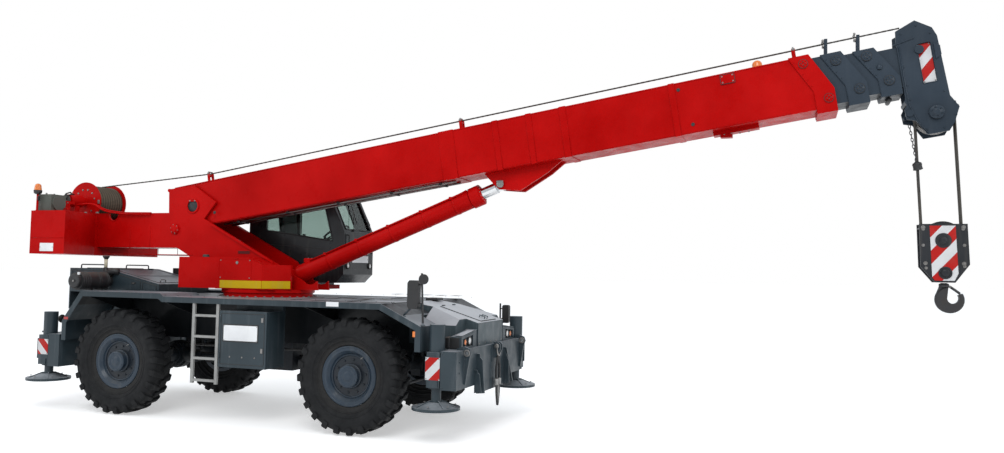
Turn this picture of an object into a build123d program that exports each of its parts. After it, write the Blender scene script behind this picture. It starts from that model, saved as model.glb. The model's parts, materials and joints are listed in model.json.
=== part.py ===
from build123d import *
from math import atan2, cos, degrees, hypot, radians, sin
import os

# A 35-t-class rough-terrain crane on two steered axles, in millimetres.
# +X forward (along the boom), +Y left, +Z up. Positions are written from the ground under the
# middle of the wheelbase; the finished crane is moved so that its origin is on the ground under
# the middle of its length.

# ---------------------------------------------------------------- driving dimensions
CLEAR = 5.0                 # least gap between parts that move past each other
RUN_FIT = 0.3               # radial gap of a pin or shaft in its bore

# wheels and axles
WHEELBASE = 3430.0
TRACK = 2090.0              # between the tyres' middles
TYRE_R = 685.0
TYRE_W = 372.0
RIM_R = 355.0               # rim flange
RIM_WELL_R = 300.0
RIM_FLANGE_Y = 1156.0
KINGPIN_Y = 840.0
STEER_ARM = 300.0           # kingpin axis to tie-rod axis
STEER_MAX = 28.0
AXLE_R = 105.0

# carrier
DECK_Z = 1550.0
DECK_T = 10.0
LIP_H = 70.0                # depth of the deck's edge
LIP_T = 10.0
HALF_W = 1250.0             # half of the road width
FENDER_Z = 1590.0
FENDER_IN_Y = 560.0         # inner edge of the rear fenders
RAIL_OUT_Y = 400.0
RAIL_T = 60.0
RAIL_Z = 960.0
RAIL_PLATE = 14.0
BOX_H = 430.0               # outrigger box height
TUBE_W = 192.0              # width of one outrigger tube
TUBE_T = 12.0
FRONT_BOX_REACH = 1205.0    # axle to the middle between the front box's two tubes
FRONT_BOX_Z = 612.0
REAR_BOX_REACH = 1097.0     # axle to the middle between the rear box's two tubes
REAR_BOX_Z = 572.0
BEAM_PLATE = 10.0           # striped end plate of a beam
BEAM_OUT = 1750.0           # beam travel
EAR_Y = 1010.0              # towing ears on the front wall
EAR_T = 30.0
EAR_R = 22.0
EAR_Z = 1014.0
LUG_T = 40.0                # middle lug
LUG_R = 16.0
LUG_Z = 1018.0
JACK_R = 88.0
JACK_Y = 1130.0
JACK_TOP = 1340.0
JACK_ROD_R = 55.0
JACK_DOWN = 450.0           # jack travel
PAD_R = 275.0
PAD_Z = 380.0
LUG_COUNT = 22              # tread bars round each half of a tyre
LUG_DEPTH = 28.0

# hood at the rear, nose at the front
HOOD_HALF = 520.0
HOOD_REAR_X = -3265.0
HOOD_KNEE_X = -2600.0
HOOD_FRONT_X = -1660.0
HOOD_TOP = 1890.0
HOOD_LOW = 1685.0
SHEET = 6.0                 # sheet thickness of covers
NOSE_REAR_X = 2150.0
NOSE_KNEE_X = 2460.0
NOSE_KNEE_Z = 1500.0
NOSE_FRONT_X = 3055.0
NOSE_FRONT_Z = 1320.0
NOSE_HALF = 450.0
NOSE_RAIL_Z = 1290.0        # top of the frame rails at their front end
HATCH_L = 560.0
HATCH_HALF = 260.0
HATCH_GAP = 1.0

# superstructure
SLEW_X = -230.0
RING_R = 600.0
RING_H = 50.0
BASE_R = 624.0
BASE_T = 45.0
CHEEK_IN = 255.0            # inner face of the side plates
CHEEK_T = 30.0
PIVOT = (-1330.0, 2790.0)   # boom foot pin, X and Z
PIVOT_R = 105.0
TAIL_TOP = 2695.0
TAIL_LOW = 2200.0
TAIL_REAR_X = -3560.0
CW_LOW = 2080.0
CW_TOP = 2680.0
CW_REAR_X = -3620.0
CW_HALF = 1100.0
WINCH = (-3330.0, 2870.0)    # drum axis, X and Z
WINCH_R = 295.0
NOTCH_X = -2735.0           # round notch in the tail's side plates
NOTCH_R = 92.0

# cab
CAB_IN_Y = 365.0
CAB_OUT_Y = 1215.0
CAB_REAR_X = -850.0
CAB_FRONT_X = 720.0
CAB_FLOOR = 1745.0
CAB_ROOF = 3150.0
CAB_WALL = 40.0

# boom: U runs along it from the foot pin, W stands up from it
BOOM_ANGLE = 8.8            # elevation as parked
BOOM_HALF = 230.0
BOOM_LOW = -291.0
BOOM_HIGH = 323.0
BOOM_REAR_U = -330.0
BOOM_T = 10.0
SECTION_STEP = 30.0         # one side of a section to the next
COLLAR_U = 8055.0           # rear top corner of the base section's end collar
COLLAR_PITCH = 330.0        # from a section's collar to the next one's, closed up
COLLAR_L = 212.0
COLLAR_SLANT = 205.0        # how far a collar leans forward down to its knee
COLLAR_KNEE_W = -85.0
COLLAR_PROUD = 12.0
TELESCOPE = 6600.0          # travel of each section
HEAD_U = 9360.0             # upper sheaves of the boom head
LOW_SHEAVE_U = 9413.0
SHEAVE_R = 190.0             # to the middle of the rope
ROPE_R = 9.0
SHEAVE_Y = (-48.0, 0.0, 48.0)
HIGH_SHEAVE_W = 158.0
LOW_SHEAVE_W = -538.0
HEAD_T = 20.0
HEAD_PIN_R = 45.0
PAD_CAP_R = 50.0            # bolted covers of the sliding pads
POST_H = 160.0              # rope guide posts
ROPE_W = 470.0              # line of the hoist rope along the boom

# luffing cylinder
LUFF_FOOT = (180.0, 1826.0)
LUFF_EYE = (4503.0, -451.0)  # rod pin, U and W
LUFF_R = 120.0
LUFF_BARREL = 2930.0
LUFF_ROD_R = 72.0
LUFF_PIN_R = 40.0

# hook
FALL = 1348.0               # head's lower sheave to the block's sheave
FALL_LEAN = 60.0            # how far forward the block hangs from the head's pin
BLOCK_HALF = 75.0
BLOCK_SHEAVE_R = 187.0
HOOK_T = 70.0               # thickness of the hook's body
HOOK_R = 140.0              # outside of the bowl
HOOK_THROAT_R = 56.0

# ---------------------------------------------------------------- worked out from them
AXLE_X = WHEELBASE / 2
FRONT_BOX_X = AXLE_X + FRONT_BOX_REACH
REAR_BOX_X = -AXLE_X - REAR_BOX_REACH
HUB_Z = TYRE_R
TYRE_Y = TRACK / 2
PAN_TOP = DECK_Z - DECK_T
SEAT_Z = HUB_Z + AXLE_R + 20.0
EAR_X = FRONT_BOX_X + TUBE_W + 38.0
LUG_X = FRONT_BOX_X + TUBE_W + 45.0
NOSE_SLOPE = degrees(atan2(NOSE_KNEE_Z - NOSE_FRONT_Z, NOSE_FRONT_X - NOSE_KNEE_X))
HATCH = Pos(NOSE_KNEE_X, 0, NOSE_KNEE_Z) * Rot(0, NOSE_SLOPE, 0) * Pos(20, 0, 0)
CHEEK_OUT = CHEEK_IN + CHEEK_T
RING_TOP = DECK_Z + RING_H
BASE_Z = RING_TOP + CLEAR
PLATFORM_Z = BASE_Z + BASE_T
BOOM = Pos(PIVOT[0], 0, PIVOT[1]) * Rot(0, -BOOM_ANGLE, 0)
SIN_B = sin(radians(BOOM_ANGLE))
COS_B = cos(radians(BOOM_ANGLE))


def from_boom(u, w):
    """The X and Z of a point given along and across the boom."""
    return (PIVOT[0] + u * COS_B - w * SIN_B, PIVOT[1] + u * SIN_B + w * COS_B)


LUFF_PIN = from_boom(*LUFF_EYE)
LUFF_LENGTH = hypot(LUFF_PIN[0] - LUFF_FOOT[0], LUFF_PIN[1] - LUFF_FOOT[1])
LUFF_ANGLE = degrees(atan2(LUFF_PIN[1] - LUFF_FOOT[1], LUFF_PIN[0] - LUFF_FOOT[0]))
LUFF = Pos(LUFF_FOOT[0], 0, LUFF_FOOT[1]) * Rot(0, -LUFF_ANGLE, 0)
HEAD_SHEAVE = from_boom(LOW_SHEAVE_U, LOW_SHEAVE_W)
BLOCK = (HEAD_SHEAVE[0] + FALL_LEAN, HEAD_SHEAVE[1] - FALL)
SHANK_X = BLOCK[0] + 15.0
HOOK_TOP = BLOCK[1] - 445.0
THROAT = (BLOCK[0] + 96.0, BLOCK[1] - 605.0)
HOOK_SEAT = (THROAT[0], 0.0, THROAT[1] - HOOK_THROAT_R)
HOOK_THROAT = 2 * HOOK_THROAT_R


# ---------------------------------------------------------------- plain forms
def block(x0, x1, y0, y1, z0, z1):
    return Pos((x0 + x1) / 2, (y0 + y1) / 2, (z0 + z1) / 2) * Box(x1 - x0, y1 - y0, z1 - z0)


def plate_y(points, y0, y1):
    """An outline of (x, z) points, from y0 to y1."""
    face = Face(Wire.make_polygon([Vector(x, y0, z) for x, z in points]))
    return extrude(face, amount=y1 - y0, dir=(0, 1, 0))


def plate_z(points, z0, z1):
    """An outline of (x, y) points, from z0 to z1."""
    face = Face(Wire.make_polygon([Vector(x, y, z0) for x, y in points]))
    return extrude(face, amount=z1 - z0, dir=(0, 0, 1))


def plate_x(points, x0, x1):
    """An outline of (y, z) points, from x0 to x1."""
    face = Face(Wire.make_polygon([Vector(x0, y, z) for y, z in points]))
    return extrude(face, amount=x1 - x0, dir=(1, 0, 0))


def round_x(x0, x1, y, z, r):
    return Pos((x0 + x1) / 2, y, z) * Rot(0, 90, 0) * Cylinder(r, x1 - x0)


def round_y(x, y0, y1, z, r):
    return Pos(x, (y0 + y1) / 2, z) * Rot(90, 0, 0) * Cylinder(r, y1 - y0)


def round_z(x, y, z0, z1, r):
    return Pos(x, y, (z0 + z1) / 2) * Cylinder(r, z1 - z0)


def rod(start, end, r):
    """A round bar from one point to another."""
    a = Vector(*start)
    b = Vector(*end)
    bar = Cylinder(r, (b - a).length, align=(Align.CENTER, Align.CENTER, Align.MIN))
    return Plane(origin=a, z_dir=b - a) * bar


def faceted(profile, sides):
    """A ring of flat facets: the closed (radius, y) profile carried round the Y axis."""
    turns = [radians(360 * k / sides) for k in range(sides)]
    rings = [[Vector(r * cos(t), y, r * sin(t)) for t in turns] for r, y in profile]
    faces = []
    for i, ring in enumerate(rings):
        ahead = rings[(i + 1) % len(rings)]
        for k in range(sides):
            n = (k + 1) % sides
            faces.append(Face(Wire.make_polygon([ring[k], ring[n], ahead[n], ahead[k]])))
    return Solid(Shell(faces))


def both(piece):
    """The piece and its twin on the other side."""
    return piece + mirror(piece, about=Plane.XZ)


def shifted(points, distance):
    """An open line of points moved sideways by distance, with mitred corners."""
    moved = []
    for i, (x, z) in enumerate(points):
        before = points[max(i - 1, 0)]
        after = points[min(i + 1, len(points) - 1)]
        a = atan2(z - before[1], x - before[0]) if i > 0 else atan2(after[1] - z, after[0] - x)
        b = atan2(after[1] - z, after[0] - x) if i < len(points) - 1 else a
        half = (b - a) / 2
        reach = distance / cos(half)
        moved.append((x - reach * sin(a + half), z + reach * cos(a + half)))
    return moved


def strip(points, thickness, y0, y1):
    """A sheet bent along the (x, z) points, its thickness below them."""
    return plate_y(points + shifted(points, -thickness)[::-1], y0, y1)


# ---------------------------------------------------------------- carrier
def chassis_frame():
    """Two deep rails, boxed under the turntable, with crossmembers at the axles."""
    rear_x = REAR_BOX_X + TUBE_W
    front_x = FRONT_BOX_X - TUBE_W
    rail = plate_y([(rear_x, RAIL_Z), (front_x, RAIL_Z), (front_x, NOSE_RAIL_Z),
                    (NOSE_REAR_X, PAN_TOP), (rear_x, PAN_TOP)], RAIL_OUT_Y - RAIL_T, RAIL_OUT_Y)
    frame = both(rail)
    box_rear = -AXLE_X + 350
    box_front = AXLE_X + 300
    inner = RAIL_OUT_Y - RAIL_T
    for z0 in (RAIL_Z, PAN_TOP - RAIL_PLATE):
        frame += block(box_rear, box_front, -inner, inner, z0, z0 + RAIL_PLATE)
    for x, top in ((box_rear, PAN_TOP), (box_front, PAN_TOP), (front_x - RAIL_PLATE, NOSE_RAIL_Z)):
        frame += block(x, x + RAIL_PLATE, -inner, inner, RAIL_Z, top)
    # spring seats on the axles
    for x in (-AXLE_X, AXLE_X):
        frame += both(block(x - 110, x + 110, inner, RAIL_OUT_Y, SEAT_Z, RAIL_Z))
    # brackets that carry the deck on each side of an axle
    arm_out = HALF_W - 60
    fender_pan = FENDER_Z - DECK_T
    fender_lip = FENDER_Z - LIP_H
    for x in (AXLE_X - 620, AXLE_X + 330):
        frame += both(plate_x([(RAIL_OUT_Y, PAN_TOP), (arm_out, PAN_TOP), (arm_out, PAN_TOP - 60),
                               (RAIL_OUT_Y, RAIL_Z + 300)], x, x + RAIL_PLATE))
    for x in (-AXLE_X - 500, -AXLE_X + 620):
        frame += both(plate_x([(RAIL_OUT_Y, PAN_TOP), (FENDER_IN_Y, PAN_TOP),
                               (FENDER_IN_Y, fender_lip), (FENDER_IN_Y + LIP_T, fender_lip),
                               (FENDER_IN_Y + LIP_T, fender_pan), (arm_out, fender_pan),
                               (arm_out, fender_pan - 60), (RAIL_OUT_Y, RAIL_Z + 300)],
                              x, x + RAIL_PLATE))
    return frame


FENDER_LINE = [(-2590.0, 930.0), (-2590.0, 1190.0), (-2290.0, FENDER_Z),
               (-985.0, FENDER_Z), (-935.0, DECK_Z)]
NOSE_LINE = [(NOSE_REAR_X, DECK_Z), (2665.0, 1305.0), (2665.0, 1020.0)]


def deck():
    """The walkway plate, with raised rear fenders, sloping front fenders and a folded lip."""
    mid = block(FENDER_LINE[-1][0], NOSE_LINE[0][0], -HALF_W, HALF_W, PAN_TOP, DECK_Z)
    mid += block(HOOD_FRONT_X, FENDER_LINE[-1][0], -FENDER_IN_Y, FENDER_IN_Y, PAN_TOP, DECK_Z)
    fender_end = (FENDER_LINE[-1][0] + 40.0, DECK_Z)
    nose_start = (NOSE_REAR_X - 40.0, DECK_Z)
    side = strip(FENDER_LINE + [fender_end], DECK_T, FENDER_IN_Y, HALF_W)
    side += strip([nose_start] + NOSE_LINE, DECK_T, 780, HALF_W)
    slope = (NOSE_LINE[1][1] - DECK_Z) / (NOSE_LINE[1][0] - NOSE_LINE[0][0])
    knee_x = NOSE_KNEE_X - 10
    knee = (knee_x, DECK_Z + slope * (knee_x - NOSE_LINE[0][0]))
    side += strip([nose_start, NOSE_LINE[0], knee], DECK_T, NOSE_HALF + RUN_FIT, 781)
    whole_line = FENDER_LINE + NOSE_LINE
    side += strip(whole_line, LIP_H, HALF_W - LIP_T, HALF_W)
    inner_edge = FENDER_LINE[1:] + [fender_end]
    side += strip(inner_edge, LIP_H, FENDER_IN_Y, FENDER_IN_Y + LIP_T)
    return mid + both(side)


def outrigger_boxes():
    """Two boxes of two tubes side by side, one tube for each side's beam."""
    boxes = Part()
    for middle, low, turn in ((FRONT_BOX_X, FRONT_BOX_Z, 1), (REAR_BOX_X, REAR_BOX_Z, 1)):
        for k, side in ((-1, -1), (1, 1)):
            x0 = middle + (k - 1) / 2 * TUBE_W
            x1 = x0 + TUBE_W
            open_end = side * (JACK_Y - JACK_R - 15)
            shut_end = -side * HALF_W
            y0, y1 = sorted((open_end, shut_end))
            tube = block(x0, x1, y0, y1, low, low + BOX_H)
            bore_y0 = y0 - 1 if side < 0 else y0 + TUBE_T
            bore_y1 = y1 - TUBE_T if side < 0 else y1 + 1
            tube -= block(x0 + TUBE_T, x1 - TUBE_T, bore_y0, bore_y1,
                          low + TUBE_T, low + BOX_H - TUBE_T)
            boxes += tube
    # saddles that carry the frame rails
    inner = RAIL_OUT_Y - RAIL_T
    boxes += both(block(FRONT_BOX_X - TUBE_W, FRONT_BOX_X - 20, inner, RAIL_OUT_Y,
                        FRONT_BOX_Z + BOX_H, 1200))
    boxes += both(block(REAR_BOX_X, REAR_BOX_X + TUBE_W, inner, RAIL_OUT_Y,
                        REAR_BOX_Z + BOX_H, 1300))
    # towing ears, apron, slanting ribs and the middle lug on the front wall
    front = FRONT_BOX_X + TUBE_W
    top = FRONT_BOX_Z + BOX_H
    for y in (-EAR_Y, EAR_Y):
        ear = plate_y([(front, 660), (front + 16, 660), (front + 62, 950), (front + 82, 1012),
                       (front + 62, 1064), (front, 1088), (front - 90, 1060), (front - 90, top),
                       (front, top)], y - EAR_T / 2, y + EAR_T / 2)
        boxes += ear - round_y(EAR_X, y - EAR_T, y + EAR_T, EAR_Z, EAR_R)
    boxes += plate_x([(-470, 500), (650, 500), (590, 640), (-540, 640)], front - 12, front)
    # ribs: Y and Z of the top and of the foot
    for y0, z0, y1, z1 in ((-614, 972, -435, 510), (-692, 790, -588, 530), (350, 972, 624, 503)):
        boxes += plate_x([(y0 - 12, z0), (y0 + 12, z0), (y1 + 12, z1), (y1 - 12, z1)],
                         front - 12, front + 38)
    lug = plate_y([(front, 860), (front + 40, 890), (front + 88, 975), (front + 88, 1040),
                   (front + 60, 1066), (front, 1075)], 28, 28 + LUG_T / 2)
    lug -= round_y(LUG_X, 20, 60, LUG_Z, LUG_R)
    boxes += both(lug)
    boxes += round_y(LUG_X, -62, 62, LUG_Z, LUG_R)
    return boxes


def engine_hood():
    """A sheet cover over the engine: flat at the rear, sloping down towards the turntable."""
    outline = [(HOOD_REAR_X, 1300.0), (HOOD_REAR_X, HOOD_TOP), (HOOD_KNEE_X, HOOD_TOP),
               (HOOD_FRONT_X, HOOD_LOW), (HOOD_FRONT_X, DECK_Z), (HOOD_REAR_X + 20, DECK_Z),
               (HOOD_REAR_X + 20, 1300.0)]
    shell = plate_y(outline, -HOOD_HALF, HOOD_HALF)
    inside = plate_y([(HOOD_REAR_X + SHEET, DECK_Z - 1), (HOOD_REAR_X + SHEET, HOOD_TOP - SHEET),
                      (HOOD_KNEE_X, HOOD_TOP - SHEET), (HOOD_FRONT_X - SHEET, HOOD_LOW - SHEET),
                      (HOOD_FRONT_X - SHEET, DECK_Z - 1)], SHEET - HOOD_HALF, HOOD_HALF - SHEET)
    return shell - inside


def engine_block():
    return block(-2980, -1780, -320, 320, REAR_BOX_Z + BOX_H + 8, 1650)


def nose_cowl():
    """The low cover between the front fenders: a sloping top and chamfered side wings."""
    low = FRONT_BOX_Z + BOX_H
    top_line = [(NOSE_REAR_X, DECK_Z), (NOSE_KNEE_X, NOSE_KNEE_Z), (NOSE_FRONT_X, NOSE_FRONT_Z)]
    cowl = plate_y([(NOSE_REAR_X, low)] + top_line + [(NOSE_FRONT_X, low)], -NOSE_HALF, NOSE_HALF)
    wing = plate_x([(NOSE_HALF, NOSE_KNEE_Z), (770, 1300), (770, low), (NOSE_HALF, low)],
                   NOSE_KNEE_X, 2900)
    wing -= plate_y(top_line[1:] + [(NOSE_FRONT_X, 1700), (NOSE_KNEE_X, 1700)],
                    NOSE_HALF - 1, 780)
    cowl += both(wing)
    inner_line = shifted(top_line, -SHEET)
    front = NOSE_FRONT_X - SHEET
    inside = plate_y([(NOSE_REAR_X - 1, low - 1), (NOSE_REAR_X - 1, inner_line[0][1])]
                     + inner_line[:2] + [(front, inner_line[2][1]), (front, low - 1)],
                     SHEET - NOSE_HALF, NOSE_HALF - SHEET)
    cowl -= inside
    # opening under the hatch
    return cowl - HATCH * block(30, HATCH_L - 30, 30 - HATCH_HALF, HATCH_HALF - 30, -40, 20)


def nose_hatch():
    """A flat lid on the sloping top, hinged at its rear edge, with two grab handles."""
    lid = block(0, HATCH_L, -HATCH_HALF, HATCH_HALF, HATCH_GAP, HATCH_GAP + SHEET)
    for y in (-45, 45):
        for u in (HATCH_L - 110, HATCH_L - 40):
            lid += block(u, u + 10, y - 5, y + 5, HATCH_GAP + SHEET, HATCH_GAP + 40)
        lid += block(HATCH_L - 110, HATCH_L - 30, y - 5, y + 5, HATCH_GAP + 30, HATCH_GAP + 40)
    return HATCH * lid


def axles():
    """Steered drive axles: a tube with a round differential housing and kingpin yokes."""
    built = Part()
    for x, inward in ((AXLE_X, -1), (-AXLE_X, 1)):
        axle = round_y(x, -700, 700, HUB_Z, AXLE_R)
        for half, r in ((55, 195), (105, 172), (150, 135)):
            axle += round_y(x, -half, half, HUB_Z, r)
        axle += both(block(x - 100, x + 100, RAIL_OUT_Y - RAIL_T, RAIL_OUT_Y, HUB_Z, SEAT_Z))
        nose_x = sorted((x + inward * 150, x + inward * 300))
        axle += round_x(nose_x[0], nose_x[1], 0, HUB_Z, 110)
        for side in (-1, 1):
            y0, y1 = sorted((side * 680, side * 700))
            axle += block(x - 70, x + 70, y0, y1, HUB_Z - 195, HUB_Z + 195)
            y0, y1 = sorted((side * 700, side * (KINGPIN_Y + 60)))
            for z0 in (HUB_Z - 195, HUB_Z + 165):
                axle += block(x - 70, x + 70, y0, y1, z0, z0 + 30)
        built += axle
    return built


def driveline():
    """The gearbox under the frame and a shaft to each axle."""
    gear_z = HUB_Z + 40
    line = block(-330, 330, -220, 220, gear_z - 150, RAIL_Z)
    line += round_x(330, AXLE_X - 300, 0, HUB_Z, 45)
    line += round_x(-AXLE_X + 300, -330, 0, HUB_Z, 45)
    # joints at the shafts' ends
    for x in (-AXLE_X + 300, -450, 330, AXLE_X - 420):
        line += round_x(x, x + 120, 0, HUB_Z, 78)
    return line


def ladders():
    """A four-rung ladder on each side, hung from the deck's lip."""
    ladder = Part()
    for x in (-460.0, -100.0):
        ladder += block(x - 20, x + 20, HALF_W - 40, HALF_W - 10.5, 490, DECK_Z - LIP_H)
    for z in (530.0, 800.0, 1070.0, 1330.0):
        ladder += block(-440, -120, HALF_W - 40, HALF_W - 10.5, z - 15, z + 15)
    return both(ladder)


def side_boxes():
    return both(block(-70, 620, 850, HALF_W - 10.5, 710, 1400)
                + block(-70, 620, 850, 900, 1400, PAN_TOP))


def mirrors():
    x = FRONT_BOX_X - 255
    y = -(HALF_W - 60)
    one = rod((x + 3, y, NOSE_LINE[1][1] + 4), (x - 24, y, 1908), 12)
    one += plate_y([(x - 185, 1530), (x - 165, 1500), (x - 72, 1500), (x - 50, 1530),
                    (x - 50, 1796), (x - 75, 1826), (x - 162, 1826), (x - 185, 1796)],
                   y - 40, y + 40)
    for z in (1560, 1770):
        one += block(x - 60, x - 8, y - 10, y + 10, z, z + 14)
    one += round_y(x + 15, y - 45, y - 25, 1840, 58)
    one += block(x - 25, x + 10, y - 30, y, 1830, 1850)
    x = FRONT_BOX_X - 160
    y = HALF_W - 60
    far = round_z(x, y, 1044, 1500, 12)
    far += plate_y([(x + 40, 1250), (x + 55, 1230), (x + 120, 1230), (x + 135, 1250),
                    (x + 135, 1460), (x + 118, 1480), (x + 57, 1480), (x + 40, 1460)],
                   y - 40, y + 40)
    for z in (1280, 1420):
        far += block(x, x + 50, y - 10, y + 10, z, z + 14)
    return one + far


def lamps():
    """A housing on each side of the nose, with a recess for a headlamp and an indicator."""
    low = FRONT_BOX_Z + BOX_H
    rear = NOSE_FRONT_X - 150
    front = NOSE_FRONT_X - 8
    half = plate_x([(NOSE_HALF + 1, low), (NOSE_HALF + 1, 1245), (530, 1228), (950, 1182),
                    (950, low)], rear, front)
    half -= plate_x([(590, 1062), (590, 1188), (900, 1160), (900, 1062)], front - 55, front + 1)
    half += round_x(front - 56, front - 6, 680, 1124, 50)
    half += round_x(front - 56, front - 10, 810, 1114, 42)
    return both(half)


def air_cleaner():
    """A drum lying across the right rear fender, with its cap, its strap and its duct."""
    x = -2540.0
    z = FENDER_Z + 128.0
    body = round_y(x, -1090, -610, z, 120)
    body += round_y(x, -1130, -1090, z, 100)
    body += round_y(x, -610, -HOOD_HALF - 0.5, z, 75)
    body += block(x - 60, x + 60, -900, -860, FENDER_Z, z)
    body += block(x - 60, x + 60, -720, -680, FENDER_Z, z)
    return body


def slew_ring():
    ring = round_z(SLEW_X, 0, DECK_Z, RING_TOP, RING_R)
    return ring - round_z(SLEW_X, 0, DECK_Z - 1, RING_TOP + 1, RING_R - 120)


# ---------------------------------------------------------------- wheels and steering
CORNERS = (("front_right", 1, -1), ("front_left", 1, 1), ("rear_right", -1, -1),
           ("rear_left", -1, 1))


def knuckle(end, side):
    """The kingpin block between the axle's yokes, with the stub axle and the steering arm."""
    x = end * AXLE_X
    k = side * KINGPIN_Y
    piece = round_z(x, k, HUB_Z - 160, HUB_Z + 160, 60)
    y0, y1 = sorted((k, side * 1080))
    piece += round_y(x, y0, y1, HUB_Z, 85)
    arm_x = x + end * STEER_ARM
    x0, x1 = sorted((x, arm_x))
    piece += block(x0, x1, k - 25, k + 25, HUB_Z - 150, HUB_Z - 120)
    piece += round_z(arm_x, k, HUB_Z - 150, HUB_Z - 120, 40)
    return piece


def tie_rod(end):
    x = end * (AXLE_X + STEER_ARM)
    piece = round_y(x, -KINGPIN_Y + 30, KINGPIN_Y - 30, HUB_Z - 175, 20)
    for side in (-1, 1):
        piece += round_z(x, side * KINGPIN_Y, HUB_Z - 200, HUB_Z - 150 - CLEAR, 38)
    return piece


def rim(end, side):
    """A deep-dished rim with a flange, a well, a bolted disc and a round hub cap."""
    flange = RIM_FLANGE_Y
    back = 2 * TYRE_Y - flange
    profile = [(RIM_R, flange), (RIM_R, flange - 22), (RIM_WELL_R + 15, flange - 40),
               (RIM_WELL_R + 15, back + 40), (RIM_R, back + 22), (RIM_R, back),
               (RIM_WELL_R, back), (RIM_WELL_R, 1085), (95, 1085), (95, 1100), (255, 1100),
               (270, 1125), (RIM_WELL_R, flange)]
    face = Face(Wire.make_polygon([Vector(r, y, 0) for r, y in profile]))
    ring = revolve(face, axis=Axis.Y)
    cap = Pos(0, 1142, 0) * Rot(90, 0, 0) * Cylinder(130, 84)
    piece = ring + cap
    if side < 0:
        piece = mirror(piece, about=Plane.XZ)
    return Pos(end * AXLE_X, 0, HUB_Z) * piece


def tread_bars(y0, y1, turn):
    """Half of the tread, a toothed ring; turn is in bars."""
    points = []
    for k in range(LUG_COUNT):
        for share, r in ((-0.30, TYRE_R - LUG_DEPTH), (-0.25, TYRE_R), (0.25, TYRE_R),
                         (0.30, TYRE_R - LUG_DEPTH)):
            t = radians(360 * (k + share + turn - 0.25) / LUG_COUNT - 90)
            points.append((r * cos(t), r * sin(t)))
    return plate_y(points, y0, y1)


def tyre_form():
    """The tyre round the Y axis: a faceted casing and two staggered rings of bars."""
    low = TYRE_Y - TYRE_W / 2
    high = TYRE_Y + TYRE_W / 2
    back = 2 * TYRE_Y - RIM_FLANGE_Y
    seat = RIM_WELL_R + 15 + 1.5
    root = TYRE_R - LUG_DEPTH - 2
    casing = faceted([(seat, back + 40), (RIM_R + 4, back + 22), (RIM_R + 42, back - 4),
                      (520, low), (root, low + 62), (root, high - 62), (520, high),
                      (RIM_R + 42, RIM_FLANGE_Y + 4), (RIM_R + 4, RIM_FLANGE_Y - 22),
                      (seat, RIM_FLANGE_Y - 40)], 40)
    bars = tread_bars(TYRE_Y - 10, high - 26, 0.0) + tread_bars(low + 26, TYRE_Y + 10, 0.5)
    return casing + (bars - round_y(0, low, high, 0, root - 60))


TYRE = tyre_form()


def tyre(end, side):
    piece = TYRE if side > 0 else mirror(TYRE, about=Plane.XZ)
    return Pos(end * AXLE_X, 0, HUB_Z) * piece


# ---------------------------------------------------------------- outriggers
def box_place(end):
    return (FRONT_BOX_X, FRONT_BOX_Z) if end > 0 else (REAR_BOX_X, REAR_BOX_Z)


def outrigger_beam(end, side):
    """The sliding beam with its jack tube and striped end plate."""
    middle, low = box_place(end)
    x = middle + side * TUBE_W / 2
    gap = TUBE_T + CLEAR
    y_in = -side * (HALF_W - TUBE_T - 2 * CLEAR - 240)
    y0, y1 = sorted((y_in, side * (HALF_W - BEAM_PLATE)))
    half = TUBE_W / 2 - gap
    beam = block(x - half, x + half, y0, y1, low + gap, low + BOX_H - gap)
    beam -= block(x - half + 10, x + half - 10, min(y_in, side * 1000),
                  max(y_in, side * 1000), low + gap + 10, low + BOX_H - gap - 10)
    y0, y1 = sorted((side * (HALF_W - BEAM_PLATE), side * HALF_W))
    beam += block(x - 93, x + 93, y0, y1, low + 98, low + BOX_H - 65)
    beam += block(x - 60, x + 60, y0, y1, low + 20, low + 98)
    beam += round_z(x, side * JACK_Y, low, low + BOX_H + 290, JACK_R)
    beam -= round_z(x, side * JACK_Y, low - 1, low + BOX_H + 270, JACK_ROD_R + RUN_FIT)
    return beam


def outrigger_jack(end, side):
    """The jack's rod and its dished float, with ribs round the neck."""
    middle, low = box_place(end)
    x = middle + side * TUBE_W / 2
    y = side * JACK_Y
    jack = round_z(x, y, PAD_Z + 60, low + BOX_H + 200, JACK_ROD_R)
    jack += Pos(x, y, PAD_Z + 57) * Cone(PAD_R * 0.8, 95, 50)
    jack += round_z(x, y, PAD_Z, PAD_Z + 32, PAD_R)
    rib = Pos(x, y, 0) * plate_y([(50, PAD_Z + 32), (PAD_R - 30, PAD_Z + 32), (80, PAD_Z + 100),
                                  (50, PAD_Z + 100)], -6, 6)
    for k in range(4):
        jack += Pos(x, y, 0) * Rot(0, 0, 45 + 90 * k) * Pos(-x, -y, 0) * rib
    return jack


# ---------------------------------------------------------------- superstructure
CHEEK = [(TAIL_REAR_X, TAIL_LOW), (TAIL_REAR_X, TAIL_TOP), (-1745, TAIL_TOP), (-1758, 3030),
         (-1337, 3083), (-946, 2841), (-1137, 2610), (295, 1885), (295, PLATFORM_Z),
         (-790, PLATFORM_Z), (-1390, 2100), (-1580, TAIL_LOW)]
FOOT_LUG = [(-150, PLATFORM_Z), (-150, 1790), (80, 1898), (205, 1898), (250, 1850),
            (410, 1770), (460, 1732), (525, 1721), (582, 1736), (625, 1772), (640, PLATFORM_Z)]


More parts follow.
